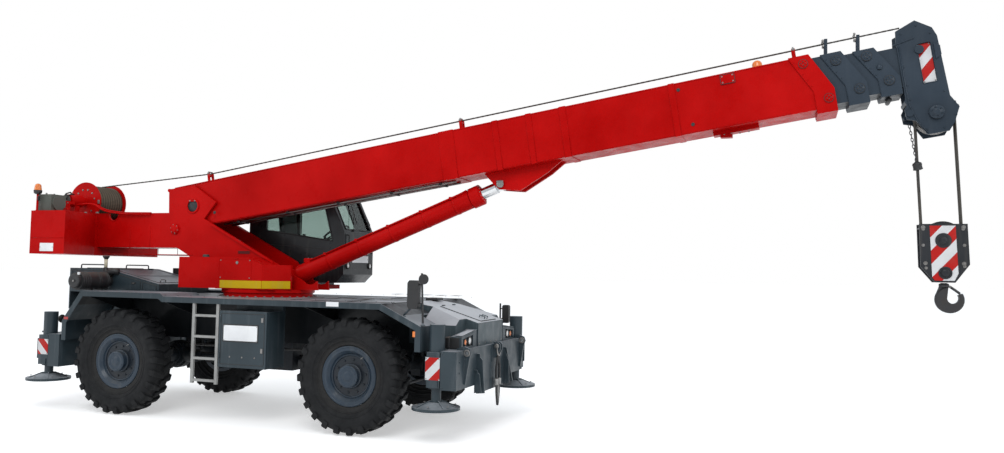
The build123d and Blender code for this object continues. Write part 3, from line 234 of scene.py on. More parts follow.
def painted(name, base, rough=0.38, coat=0.25, dust=0.35, wear=0.5, metal=0.0,
            dust_and_sheen_colour=(0.30, 0.27, 0.22), spec=0.25, arch_shade=False, even=0.15, hub=None,
            under_shade=0.0):
    """Machine paint: fading, rain streaks, dust where it settles, chips down to primer; on some
    paints also painted shade underneath, in the wheel arches and in a wheel's dish, and a painted
    sky reflection on the tops.
    """
    s = Shader(name)
    dark = tuple(c * 0.78 for c in base)
    pale = tuple(min(1, c * 1.12 + 0.004) for c in base)
    shade = s.mix(s.ramp(s.noise(0.9, 5), [(0.35, 0), (0.68, 1)]), dark, pale)
    streak = s.noise(2.2, 6, 0.6, s.mapped((5, 5, 0.45)))
    shade = s.laid(shade, s.ramp(streak, [(0.52, 0), (0.78, 1)]), 0.12, dust_and_sheen_colour)
    # dust where it settles on faces that look up; with a pale colour and a high even floor it is
    # also a painted sky reflection on the tops
    tops_dust_and_sheen = s.times(s.ramp(s.up(), [(0.45, 0), (0.95, 1)]),
                    s.ramp(s.noise(3.5, 8, 0.65), [(0.35, even), (0.75, 1)]))
    shade = s.laid(shade, tops_dust_and_sheen, dust, dust_and_sheen_colour)
    if under_shade:
        # painted shade on faces that look down
        downward_shade = s.ramp(s.times(s.up(), -1.0), [(0.55, 0), (0.9, 1)])
        shade = s.laid(shade, downward_shade, under_shade, (0.004, 0.005, 0.006))
    if hub is not None:
        # painted shade in the dish's recess, between the hub and the rim's well
        dish_shade = s.ramp(s.radius(hub), [(0.125, 0), (0.150, 1), (0.225, 1), (0.262, 0)])
        shade = s.laid(shade, dish_shade, 0.72, (0.004, 0.005, 0.007))
    chips = s.ramp(s.noise(38, 9, 0.7), [(0.72, 0), (0.745, 1)])
    chips = s.times(chips, s.ramp(s.noise(1.7, 3), [(0.55, 0), (0.66, 1)]))
    shade = s.laid(shade, chips, wear, (0.06, 0.045, 0.035))
    if arch_shade:
        # painted shade, near black, inside the wheel arches
        inside = s.math("LESS_THAN", s.math("ABSOLUTE", s.axis("Y")), ARCH_Y)
        low_down = s.math("LESS_THAN", s.axis("Z"), ARCH_TOP)
        amid = s.math("LESS_THAN", s.math("ABSOLUTE", s.math("SUBTRACT", s.axis("X"), OX)), ARCH_X)
        shade = s.mix(s.times(s.times(inside, low_down), s.times(amid, 0.85)), shade,
                      (0.005, 0.005, 0.006))
    s.colour(shade)
    low, high = max(0.05, rough - 0.1), min(1, rough + 0.16)
    s.rough(s.ramp(s.noise(7, 7, 0.6), [(0.3, low), (0.75, high)]))
    s.set(Metallic=metal, Coat_Weight=coat, Coat_Roughness=0.12, Specular_IOR_Level=spec)
    ripple = s.bump(s.noise(1.3, 2, 0.4), 0.10, 0.012)
    s.bump(s.noise(140, 2), 0.05, 0.0006, ripple)
    return s.mat


def steel(name, base, rough=0.3, brushed=(1, 1, 30), grime=0.4, metal=0.9):
    s = Shader(name)
    lines = s.noise(30, 5, 0.6, s.mapped(brushed))
    shade = s.mix(lines, tuple(c * 0.8 for c in base), base)
    dirt = s.ramp(s.noise(5, 8, 0.7), [(0.48, 0), (0.75, 1)])
    shade = s.laid(shade, dirt, grime, (0.05, 0.035, 0.022))
    s.colour(shade)
    s.rough(s.ramp(lines, [(0.3, rough * 0.75), (0.8, min(1, rough * 1.6))]))
    s.set(Metallic=metal)
    s.bump(lines, 0.12, 0.0008)
    return s.mat


def plastic(name, base, rough=0.55, grain=260, dust=0.25):
    s = Shader(name)
    shade = s.mix(s.noise(4, 6), tuple(c * 0.8 for c in base),
                  tuple(c * 1.2 + 0.004 for c in base))
    shade = s.laid(shade, s.ramp(s.up(), [(0.4, 0), (1, 1)]), dust, (0.25, 0.22, 0.18))
    s.colour(shade)
    s.rough(s.ramp(s.noise(11, 5), [(0.3, rough * 0.8), (0.7, min(1, rough * 1.2))]))
    s.bump(s.noise(grain, 3), 0.15, 0.0008)
    return s.mat


def lens(name, base, rough=0.12):
    """A ribbed lamp lens."""
    s = Shader(name)
    shade = s.mix(s.noise(30, 3), tuple(c * 0.8 for c in base), base)
    s.colour(shade)
    s.bump(s.wave("Z", 45), 0.25, 0.002)
    s.rough(s.ramp(s.noise(9, 4), [(0.3, rough), (0.8, rough * 2.2)]))
    s.set(Coat_Weight=0.6, Coat_Roughness=0.05)
    return s.mat


def rubber(name, x, dusty=0.25):
    """Tyre rubber with moulded rings round the wheel at x, grey with road dust."""
    s = Shader(name)
    r = s.radius(x)
    rings = s.math("SINE", s.times(r, 2 * pi / 0.026))
    rings = s.times(rings, s.ramp(r, [(0.5, 1), (0.56, 0)]))
    shade = s.mix(s.noise(5, 8, 0.65), (0.0045, 0.005, 0.006), (0.010, 0.0105, 0.0115))
    dust = s.ramp(s.noise(2.6, 9, 0.7), [(0.42, 0), (0.75, 1)])
    shade = s.laid(shade, dust, dusty, (0.030, 0.030, 0.030))
    shade = s.laid(shade, s.ramp(r, [(0.36, 1), (0.46, 0)]), 0.35, (0.045, 0.042, 0.038))
    s.colour(shade)
    s.rough(s.ramp(s.noise(12, 6), [(0.3, 0.62), (0.7, 0.88)]))
    s.set(Specular_IOR_Level=0.25)
    first = s.bump(s.times(rings, 0.5), 0.35, 0.004)
    s.bump(s.noise(90, 6, 0.6), 0.3, 0.0015, first)
    return s.mat


def glass(name, tint=(0.46, 0.55, 0.52)):
    s = Shader(name)
    smear = s.ramp(s.noise(3, 7, 0.6), [(0.45, 0.015), (0.85, 0.10)])
    s.rough(smear)
    s.colour(s.mix(s.noise(2, 3), tuple(c * 0.96 for c in tint), tint))
    s.set(Transmission_Weight=1.0, IOR=1.25)
    return s.mat


def cloth(name, base):
    """A woven seat cover."""
    s = Shader(name)
    weave = s.math("MAXIMUM", s.wave("X", 160), s.wave("Y", 160))
    shade = s.mix(weave, tuple(c * 0.6 for c in base), base)
    shade = s.laid(shade, s.noise(6, 6), 0.4, tuple(c * 1.8 for c in base))
    s.colour(shade)
    s.rough(s.ramp(s.noise(14, 4), [(0.3, 0.8), (0.7, 0.95)]))
    s.set(Sheen_Weight=0.3)
    s.bump(weave, 0.3, 0.001)
    return s.mat


def stripes(name, one, two, period, slope=(1, 0, 1), phase=0.0):
    """Painted warning bars along a direction."""
    s = Shader(name)
    x, y, z = (s.axis(a) for a in "XYZ")
    along = s.math("ADD", s.math("ADD", s.times(x, slope[0]),
                                 s.times(y, slope[1])),
                   s.times(z, slope[2]))
    part = s.math("FRACT", s.math("ADD", s.math("DIVIDE", along, period), phase))
    bar = s.math("GREATER_THAN", part, 0.5)
    shade = s.mix(bar, one, two)
    dirt = s.ramp(s.noise(6, 8, 0.7), [(0.45, 0), (0.85, 1)])
    shade = s.laid(shade, dirt, 0.2, (0.2, 0.17, 0.14))
    s.colour(shade)
    s.set(Specular_IOR_Level=0.2)
    s.rough(s.ramp(s.noise(9, 6), [(0.3, 0.35), (0.75, 0.6)]))
    s.bump(s.noise(90, 3), 0.06, 0.0008)
    return s.mat


# the carrier's pale bluish dust, spread evenly over its tops, is dust together with a painted sky
# reflection there
CARRIER = ((0.025, 0.039, 0.048), 0.42, 0.10, 0.75, 0.5)
CARRIER_DUST_AND_SHEEN = {"dust_and_sheen_colour": (0.38, 0.40, 0.43), "even": 0.4}
RIM = ((0.022, 0.037, 0.056), 0.40, 0.15, 0.30, 0.5)
STRIPE_RED, STRIPE_WHITE = (0.42, 0.008, 0.006), (0.62, 0.62, 0.63)
M = {
    "crane_red": painted("crane_red", (0.44, 0.0008, 0.0005), 0.30, 0.0, 0.02, 0.12,
                         dust_and_sheen_colour=(0.34, 0.006, 0.004), spec=0.045),
    "carrier_paint": painted("carrier_paint", *CARRIER, **CARRIER_DUST_AND_SHEEN),
    # the carrier paint with painted shade inside the wheel arches
    "arch_shaded_paint": painted("arch_shaded_paint", *CARRIER, arch_shade=True, **CARRIER_DUST_AND_SHEEN),
    # a lighter copy of the carrier paint for the lit nose; its pale even dust is a painted sky
    # reflection on the nose's top
    "lit_nose_paint": painted("lit_nose_paint", (0.045, 0.064, 0.073), 0.42, 0.10, 0.95, 0.4,
                          dust_and_sheen_colour=(0.52, 0.54, 0.57), even=0.8),
    "axle_paint": painted("axle_paint", (0.012, 0.016, 0.021), 0.5, 0.03, 0.35, 0.7),
    # boom_grey: under_shade darkens its downward faces as painted shade
    "boom_grey": painted("boom_grey", (0.020, 0.032, 0.047), 0.42, 0.04, 0.1, 0.4,
                         dust_and_sheen_colour=(0.10, 0.11, 0.12), spec=0.2, under_shade=0.85),
    "cab_paint": painted("cab_paint", (0.010, 0.011, 0.013), 0.33, 0.2, 0.1, 0.25),
    "cooler_paint": painted("cooler_paint", (0.09, 0.10, 0.085), 0.5, 0.1, 0.3, 0.4),
    "block_paint": painted("block_paint", (0.017, 0.019, 0.023), 0.45, 0.08, 0.15, 0.7),
    # hub: painted shade in the rim's dish round the hub
    "rim_paint": painted("rim_rear", *RIM, hub=-HUB_X),
    "rim_front": painted("rim_front", *RIM, hub=HUB_X),
    "yellow_paint": painted("yellow_paint", (0.55, 0.36, 0.002), 0.38, 0.05, 0.05, 0.3,
                            spec=0.1),
    "white_paint": painted("white_paint", (0.80, 0.81, 0.82), 0.4, 0.1, 0.08, 0.15),
    "orange_paint": painted("orange_paint", (0.70, 0.12, 0.01), 0.4, 0.1, 0.1, 0.3),
    "galvanised": steel("galvanised", (0.34, 0.34, 0.33), 0.5, (1, 1, 1), 0.35, 0.3),
    "red_lens": lens("red_lens", (0.45, 0.01, 0.008)),
    "beam_stripes": stripes("beam_stripes", STRIPE_RED, STRIPE_WHITE, 0.244, (1, 0, -1),
                            0.5 - (1.936 + OX) / 0.244),
    "rear_stripes": stripes("rear_stripes", STRIPE_RED, STRIPE_WHITE, 0.244, (1, 0, 1), 0.2),
    "head_stripes": stripes("head_stripes", STRIPE_RED, STRIPE_WHITE, 0.307, (1.28, 0, -1),
                            0.5 - (5.8205 + 1.28 * OX) / 0.307),
    "block_stripes": stripes("block_stripes", STRIPE_RED, STRIPE_WHITE, 0.288, (1.12, 0, -1),
                             0.5 - (6.569 + 1.12 * OX) / 0.288),
    "cream_paint": painted("cream_paint", (0.50, 0.46, 0.34), 0.45, 0.1, 0.2, 0.7),
    "cast_iron": steel("cast_iron", (0.07, 0.07, 0.07), 0.6, (1, 1, 1), 0.6, 0.5),
    "bare_steel": steel("bare_steel", (0.28, 0.27, 0.26), 0.35, (1, 1, 1), 0.55),
    "chrome_rod": steel("chrome_rod", (0.72, 0.73, 0.74), 0.10, (1, 40, 1), 0.06, 1.0),
    "hook_iron": steel("hook_iron", (0.045, 0.045, 0.047), 0.5, (1, 1, 1), 0.4, 0.6),
    "rope_steel": steel("rope_steel", (0.07, 0.064, 0.055), 0.5, (1, 1, 60), 0.4, 0.5),
    "drum_rope": steel("drum_rope", (0.055, 0.040, 0.026), 0.6, (1, 1, 60), 0.5, 0.3),
    "drum_rope_pale": steel("drum_rope_pale", (0.14, 0.105, 0.07), 0.6, (1, 1, 60), 0.5, 0.3),
    "black_plastic": plastic("black_plastic", (0.012, 0.012, 0.013)),
    "lamp_lens": lens("lamp_lens", (0.75, 0.76, 0.74)),
    "orange_lens": lens("orange_lens", (0.80, 0.20, 0.02)),
    "cab_glass": glass("cab_glass"),
    "seat_fabric": cloth("seat_fabric", (0.035, 0.035, 0.04)),
    "tyre": rubber("tyre_rear", -HUB_X),
    "tyre_front": rubber("tyre_front", HUB_X),
}

SLOTS = {s["node"]: s["material_slot"] for s in frame["record"]["subparts"]}
for name, obj in NODES.items():
    mat = M[{"tyre_front_right": "tyre_front", "tyre_front_left": "tyre_front",
             "rim_front_right": "rim_front", "rim_front_left": "rim_front",
             "nose_cowl": "lit_nose_paint", "nose_hatch": "lit_nose_paint", "ladders": "galvanised",
             "deck": "arch_shaded_paint", "chassis_frame": "arch_shaded_paint"}.get(name, SLOTS[name])]
    obj.data.materials.clear()
    obj.data.materials.append(mat)

# short names of the commonest materials
RED, GREY, PAINT = "crane_red", "boom_grey", "carrier_paint"
CAB, WHITE = "cab_paint", "white_paint"
BLACK, STEEL, IRON = "black_plastic", "bare_steel", "hook_iron"
UP = Vector((0, 0, 1))
AHEAD, BACK = Vector((1, 0, 0)), Vector((-1, 0, 0))
LEFT, RIGHT = Vector((0, 1, 0)), Vector((0, -1, 0))
SIDES = tuple((s, Vector((0, s, 0))) for s in (-1, 1))


# ---------------------------------------------------------------- mesh making
def corners(a0, a1, b0, b1):
    """The four corners of a rectangle, in turn."""
    return (a0, b0), (a1, b0), (a1, b1), (a0, b1)


def skin(rows, n, caps=True):
    """The faces round a tube of rows of n points each, with its two ends."""
    faces = [(i * n + k, i * n + (k + 1) % n, (i + 1) * n + (k + 1) % n, (i + 1) * n + k)
             for i in range(rows - 1) for k in range(n)]
    if caps:
        faces += [tuple(range(n))[::-1], tuple((rows - 1) * n + k for k in range(n))]
    return faces


def turned(side, other, r, k, n):
    """The k-th of n spots on a circle of radius r spanned by two directions."""
    t = 2 * pi * k / n
    return (side * cos(t) + other * sin(t)) * r


def on_side(s, *points):
    """Points of the left side, given in the source's metres, on the side s."""
    return [at(x, s * y, z) for x, y, z in points]


class Piece:
    """Mesh parts that ride on one body, each part in its own material."""

    def __init__(self, name, body, slot):
        self.name, self.body, self.slot = name, body, slot
        self.bm = bmesh.new()
        self.mats = []

    def index(self, mat):
        if mat not in self.mats:
            self.mats.append(mat)
        return self.mats.index(mat)

    def add(self, verts, faces, mat, smooth=False):
        i = self.index(mat)
        made = [self.bm.verts.new(v) for v in verts]
        for face in faces:
            f = self.bm.faces.new([made[k] for k in face])
            f.material_index = i
            f.smooth = smooth
        return made

    def box(self, low, high, mat, bevel=0.004, turn=None):
        """A box with bevelled edges; turn is a matrix about its middle."""
        low, high = Vector(tuple(low)), Vector(tuple(high))
        mid, half = (low + high) / 2, (high - low) / 2
        b = min(bevel, *(h * 0.45 for h in half))
        pts = []
        for sx in (-1, 1):
            for sy in (-1, 1):
                for sz in (-1, 1):
                    s = (sx, sy, sz)
                    for k in range(3):
                        pts.append(Vector([s[j] * (half[j] - (0 if j == k else b))
                                           for j in range(3)]))
        tmp = bmesh.new()
        for p in pts:
            tmp.verts.new(p)
        bmesh.ops.convex_hull(tmp, input=tmp.verts)
        self.merge(tmp, mat, turn, mid)

    def slab(self, a, b, *rest):
        """A box between two opposite corners, in any order."""
        self.box(map(min, a, b), map(max, a, b), *rest)

    def block(self, centre, half, *rest):
        """A box of half sizes round its centre."""
        self.box(centre - Vector(half), centre + Vector(half), *rest)

    def merge(self, tmp, mat, turn=None, mid=Vector((0, 0, 0)), smooth=False):
        tmp.verts.index_update()
        pts = [(turn @ v.co if turn else v.co) + mid for v in tmp.verts]
        faces = [[v.index for v in f.verts] for f in tmp.faces]
        tmp.free()
        self.add(pts, faces, mat, smooth)

    def lathe(self, start, end, profile, mat, segs=32, smooth=True, caps=True):
        """Rings (distance from start along the axis, radius) round the line start to end."""
        start, end = Vector(start), Vector(end)
        a = (end - start).normalized()
        side = a.orthogonal().normalized()
        other = a.cross(side)
        verts = [start + a * h + turned(side, other, r, k, segs)
                 for h, r in profile for k in range(segs)]
        self.add(verts, skin(len(profile), segs, caps), mat, smooth)

    def bar(self, start, end, r, mat, segs=16, chamfer=0.12):
        """A round bar with softened ends."""
        length = (Vector(end) - Vector(start)).length
        c = min(r * chamfer * 2, length * 0.2)
        self.lathe(start, end, [(0, r - c), (c, r), (length - c, r), (length, r - c)], mat, segs)

    def pipe(self, points, r, mat, segs=10, bend=None):
        """A tube along a line of points with rounded corners."""
        pts = [Vector(p) for p in points]
        bend = bend or r * 4
        path = [pts[0]]
        for before, here, after in zip(pts, pts[1:], pts[2:]):
            a, b = (before - here), (after - here)
            reach = min(bend, a.length * 0.45, b.length * 0.45)
            p, q = here + a.normalized() * reach, here + b.normalized() * reach
            for k in range(6):
                t = k / 5
                path.append((1 - t) ** 2 * p + 2 * t * (1 - t) * here + t * t * q)
        path.append(pts[-1])
        verts = []
        normal = (path[1] - path[0]).orthogonal().normalized()
        for i, p in enumerate(path):
            d = (path[min(i + 1, len(path) - 1)] - path[max(i - 1, 0)]).normalized()
            normal = (normal - d * normal.dot(d)).normalized()
            other = d.cross(normal)
            verts += [p + turned(normal, other, r, k, segs) for k in range(segs)]
        self.add(verts, skin(len(path), segs), mat, True)

    def outline(self, points, *rest):
        """A pipe that comes back to its first point."""
        self.pipe(points + points[:1], *rest)

    def plate(self, outline, thick, mat, bevel=0.0):
        """A flat outline of points given a thickness vector, its far face drawn in by bevel."""
        pts = [Vector(p) for p in outline]
        mid = sum(pts, Vector()) / len(pts)
        thick = Vector(thick)
        rows = [pts, [p + thick * (1 if not bevel else 0.7) for p in pts]]
        if bevel:
            rows.append([p + thick + (mid - p).normalized() * bevel for p in pts])
        n = len(pts)
        caps = [tuple(range(n))[::-1], tuple((len(rows) - 1) * n + k for k in range(n))]
        self.add([p for row in rows for p in row], caps + skin(len(rows), n, False), mat)

    def bolt(self, place, normal, r, mat, washer=True):
        """A hexagon head on its washer."""
        n = Vector(normal).normalized()
        p = Vector(place)
        if washer:
            self.lathe(p, p + n, [(0, r * 1.45), (r * 0.18, r * 1.45), (r * 0.28, r * 1.3)],
                       mat, 12, False)
        self.lathe(p, p + n, [(r * 0.2, r), (r * 0.75, r), (r * 0.95, r * 0.82)], mat, 6, False)

    def ring_of_bolts(self, centre, normal, circle, count, r, mat, turn=0.0):
        n = Vector(normal).normalized()
        side = n.orthogonal().normalized()
        other = n.cross(side)
        for k in range(count):
            self.bolt(Vector(centre) + turned(side, other, circle, k + turn, count), n, r, mat)

    def done(self, replaces=()):
        bmesh.ops.recalc_face_normals(self.bm, faces=self.bm.faces)
        mesh = bpy.data.meshes.new(self.name)
        self.bm.to_mesh(mesh)
        self.bm.free()
        for mat in self.mats:
            mesh.materials.append(M[mat])
        obj = bpy.data.objects.new(self.name, mesh)
        bpy.context.collection.objects.link(obj)
        if isinstance(self.body, str):
            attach(obj, self.body)
        else:
            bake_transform(obj)
        if replaces:
            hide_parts(*replaces)
        return obj


# ---------------------------------------------------------------- tyres and wheels
TYRE_R, TYRE_MID = 0.685, 1.045
CORNERS = (("front_right", 1, -1), ("front_left", 1, 1), ("rear_right", -1, -1),
           ("rear_left", -1, 1))
# casing from the outer bead to the crown: (radius, distance from the tyre's middle)
CASING = ((0.3575, 0.093), (0.362, 0.108), (0.385, 0.1135), (0.395, 0.112), (0.402, 0.118),
          (0.416, 0.127), (0.420, 0.134), (0.428, 0.135), (0.432, 0.131), (0.462, 0.150),
          (0.466, 0.156), (0.474, 0.158), (0.478, 0.154), (0.505, 0.165), (0.530, 0.172),
          (0.560, 0.175), (0.585, 0.173), (0.604, 0.168), (0.622, 0.162), (0.640, 0.150),
          (0.652, 0.130), (0.656, 0.07), (0.657, 0.0))
# one bar from the middle of the tread to the shoulder:
# distance across, top radius, foot radius, turn in radians, half width
BAR = ((-0.012, 0.6835, 0.650, 0.000, 0.027), (0.030, 0.6838, 0.650, 0.012, 0.030),
       (0.075, 0.6838, 0.650, 0.040, 0.032), (0.115, 0.6832, 0.648, 0.062, 0.035),
       (0.150, 0.6790, 0.636, 0.074, 0.038), (0.172, 0.6630, 0.618, 0.080, 0.037),
       (0.182, 0.6360, 0.600, 0.083, 0.034), (0.1815, 0.6080, 0.585, 0.085, 0.028))


def tyre(corner, end, side):
    piece = Piece("tyre_detail_" + corner, "wheel_" + corner, "tyre")
    cx, cy = OX + end * HUB_X, side * TYRE_MID
    mat = "tyre_front" if end > 0 else "tyre"
    profile = list(CASING) + [(r, -y) for r, y in CASING[-2::-1]]
    segs = 88

    def spot(r, y, t):
        return Vector((cx + r * cos(t), cy + side * y, HUB_Z + r * sin(t)))

    verts = [spot(r, y, 2 * pi * k / segs) for r, y in profile for k in range(segs)]
    piece.add(verts, skin(len(profile), segs, False), mat, True)
    count = 24
    for k in range(count):
        for half in (1, -1):
            t0 = 2 * pi * (k + (0.5 if half < 0 else 0)) / count
            verts, faces = [], []
            for y, top, foot, turn, w in BAR:
                t = t0 + turn
                for r, off in ((foot, -w * 1.15), (top - 0.005, -w), (top, -w * 0.82),
                               (top, w * 0.82), (top - 0.005, w), (foot, w * 1.15)):
                    verts.append(spot(r, half * y, t + off / TYRE_R))
            n = 6
            for i in range(len(BAR) - 1):
                for j in range(n - 1):
                    faces.append((i * n + j, i * n + j + 1, (i + 1) * n + j + 1, (i + 1) * n + j))
            faces.append(tuple(range(n)))
            faces.append(tuple((len(BAR) - 1) * n + j for j in range(n))[::-1])
            piece.add(verts, faces, mat)
    piece.done(replaces=("tyre_" + corner,))


def wheel_trim(corner, end, side):
    rim = "rim_front" if end > 0 else "rim_paint"
    piece = Piece("wheel_trim_" + corner, "wheel_" + corner, "rim_paint")
    cx = OX + end * HUB_X

    def y(v):
        return side * v

    hub = (cx, y(1.100), HUB_Z)
    out = (cx, y(1.5), HUB_Z)
    # lock ring on the flange, ring on the disc, hub cap's face
    piece.lathe(hub, out, [(0.046, 0.328), (0.058, 0.333), (0.062, 0.342), (0.058, 0.351),
                           (0.050, 0.3535)], rim, 72, caps=False)
    piece.lathe(hub, out, [(0.0, 0.262), (0.012, 0.258), (0.016, 0.248), (0.012, 0.238),
                           (0.0, 0.234)], rim, 64, caps=False)
    piece.lathe(hub, out, [(0.0, 0.150), (0.020, 0.148), (0.026, 0.140), (0.028, 0.131)], rim, 48,
                caps=False)
    piece.lathe(hub, out, [(0.080, 0.130), (0.088, 0.122), (0.090, 0.095), (0.0865, 0.088),
                           (0.0865, 0.055), (0.092, 0.050), (0.094, 0.030)], rim, 48)
    n = (0, side, 0)
    piece.ring_of_bolts(hub, n, 0.196, 10, 0.013, rim)
    piece.ring_of_bolts((cx, y(1.188), HUB_Z), n, 0.107, 8, 0.006, rim, 0.5)
    # valve and its stem
    t = 0.9
    a = Vector((cx + 0.285 * cos(t), y(1.125), HUB_Z + 0.285 * sin(t)))
    piece.pipe([a, a + Vector((0.012, y(0.03), 0.012)), a + Vector((-0.01, y(0.06), -0.01))],
               0.004, STEEL, 8)
    piece.done()


# ---------------------------------------------------------------- carrier, front
def ring(piece, centre, normal, outer, inner, height, mat, segs=24):
    """A flat bush with its hole left open."""
    c, n = Vector(centre), Vector(normal).normalized()
    piece.lathe(c, c + n, [(0, inner), (height, inner), (height * 1.05, inner * 1.03),
                           (height * 1.05, outer * 0.95), (height * 0.9, outer), (0, outer)], mat,
                segs, caps=False)


def carrier_front():
    p = Piece("front_fittings", "carrier", PAINT)
    for s in (-1, 1):
        # bushes of the towing ears
        for k in (-1, 1):
            ring(p, at(3.145, s * 1.01 + k * 0.015, 1.014), (0, k, 0), 0.040, 0.0225, 0.008, STEEL)
        # headlamp, indicator and their bezels in the recess
        for x, y, z, r, mat in ((3.037, 0.68, 1.124, 0.050, "lamp_lens"),
                                (3.033, 0.81, 1.114, 0.042, "orange_lens")):
            c = at(x, s * y, z)
            ring(p, c, AHEAD, r * 1.10, r * 0.86, 0.010, BLACK)
            p.lathe(c, c + AHEAD, [(0.002, r * 0.88), (0.009, r * 0.7), (0.013, r * 0.35),
                                   (0.014, 0.004)], mat, 32)
        # hood over the lamps
        p.plate(on_side(s, (2.96, 0.545, 1.232), (3.047, 0.545, 1.232), (3.047, 0.93, 1.190),
                        (2.96, 0.93, 1.190)), (0, 0, 0.010), "lit_nose_paint", 0.004)
        # black box and plate between the lamps and the jack, dark as painted shade on the carrier
        # there
        p.slab(at(2.835, s * 0.965, 1.047), at(2.902, s * 0.80, 1.178), BLACK, 0.008)
        p.slab(at(2.902, s * 0.958, 1.050), at(3.02, s * 0.951, 1.172), BLACK, 0.003)
        # side marker
        p.slab(at(2.567, s * 1.252, 1.185), at(2.603, s * 1.235, 1.25), "orange_lens", 0.006)
        # bolts of the wall's ends and of the fender's foot
        for x in (2.94, 3.09) if s < 0 else (2.75, 2.90):
            for z in (0.635, 1.020):
                p.bolt(at(x, s * 1.25, z), (0, s, 0), 0.008, PAINT)
        for z in (0.80, 0.92):
            p.bolt(at(3.112, s * 1.16, z), AHEAD, 0.009, PAINT)
        p.bolt(at(3.112, s * 0.42, 0.60), AHEAD, 0.010, PAINT)
        # gussets of the mirror posts and foot plates
        foot = at(2.668, s * 1.19, 1.312) if s < 0 else at(2.762, s * 1.19, 1.046)
        p.lathe(foot, foot + UP, [(0, 0.030), (0.006, 0.030), (0.012, 0.018), (0.03, 0.014)],
                PAINT, 20)
    # stay of the right mirror, from the glass's foot down to the fender
    p.pipe([at(2.560, -1.19, 1.545), at(2.500, -1.19, 1.50), at(2.420, -1.19, 1.418)], 0.012,
           PAINT, 10, 0.03)
    p.lathe(at(2.420, -1.19, 1.408), at(2.420, -1.19, 1.5), [(0, 0.030), (0.008, 0.030),
                                                             (0.012, 0.016)], PAINT, 16)
    # wedge plates that stand on the front wall, with chamfered tops
    for y, pts in ((-0.605, ((3.109, 0.972), (3.182, 0.900), (3.212, 0.515), (3.109, 0.505))),
                   (-0.675, ((3.109, 0.790), (3.172, 0.740), (3.197, 0.530), (3.109, 0.520))),
                   (0.360, ((3.109, 0.972), (3.180, 0.800), (3.190, 0.520), (3.109, 0.503)))):
        p.plate([at(x, y - 0.010, z) for x, z in pts], (0, 0.020, 0), PAINT, 0.001)
    # sling: two wire legs from the lug's shackle, each with its ferrule, meeting in a point
    for k in (-1, 1):
        p.pipe(on_side(k, (3.162, 0.006, 0.905), (3.160, 0.030, 0.830), (3.160, 0.058, 0.760),
                       (3.160, 0.056, 0.640), (3.160, 0.050, 0.600)), 0.016, BLACK, 10, 0.06)
        p.lathe(at(3.160, k * 0.052, 0.620), at(3.160, k * 0.046, 0.5),
                [(0, 0.017), (0.008, 0.026), (0.072, 0.026), (0.082, 0.017)], "galvanised", 20)
        p.pipe(on_side(k, (3.160, 0.048, 0.545), (3.160, 0.043, 0.45), (3.160, 0.012, 0.32),
                       (3.160, 0, 0.290)), 0.015, IRON, 10, 0.05)
        p.pipe(on_side(k, (3.160, 0.026, 0.545), (3.160, 0.020, 0.45), (3.160, 0.006, 0.34)),
               0.012, "galvanised", 8, 0.05)
    # lifting plate behind the middle lug, with its shackle
    p.box(at(3.109, -0.105, 0.83), at(3.118, 0.105, 1.052), PAINT, 0.004)
    p.pipe([at(3.157, -0.040, 1.018), at(3.162, -0.046, 0.965), at(3.166, -0.036, 0.915),
            at(3.167, 0.0, 0.898), at(3.166, 0.036, 0.915), at(3.162, 0.046, 0.965),
            at(3.157, 0.040, 1.018)], 0.012, STEEL, 12, 0.03)
    for k in (-1, 1):
        ring(p, at(3.157, k * 0.048, 1.018), (0, k, 0), 0.030, 0.0165, 0.016, STEEL)
    p.bolt(at(3.157, -0.062, 1.018), RIGHT, 0.018, STEEL)
    # lid: hinges and edge seam
    slope = atan2(0.18, 0.595)

    def lid(u, y, h=0.0):
        """A point u down the nose from its knee, h off its face."""
        return at(2.46 + u * cos(slope) + h * sin(slope), y, 1.5 - u * sin(slope) + h * cos(slope))

    for y in (-0.17, 0.17):
        p.bar(lid(0.016, y - 0.04, 0.012), lid(0.016, y + 0.04, 0.012), 0.008, PAINT, 12)
    p.outline([lid(u, y, 0.002) for u, y in corners(0.02, 0.59, -0.27, 0.27)], 0.0035, BLACK, 6)
    # panel seam and rivets round the nose's front
    p.pipe([at(3.0555, -0.449, 1.05), at(3.0555, -0.449, 1.312), at(3.0555, 0.449, 1.312),
            at(3.0555, 0.449, 1.05)], 0.004, PAINT, 6)
    for y in (-0.40, -0.2, 0.0, 0.2, 0.40):
        p.bolt(at(3.055, y, 1.07), AHEAD, 0.007, STEEL)
    p.done()


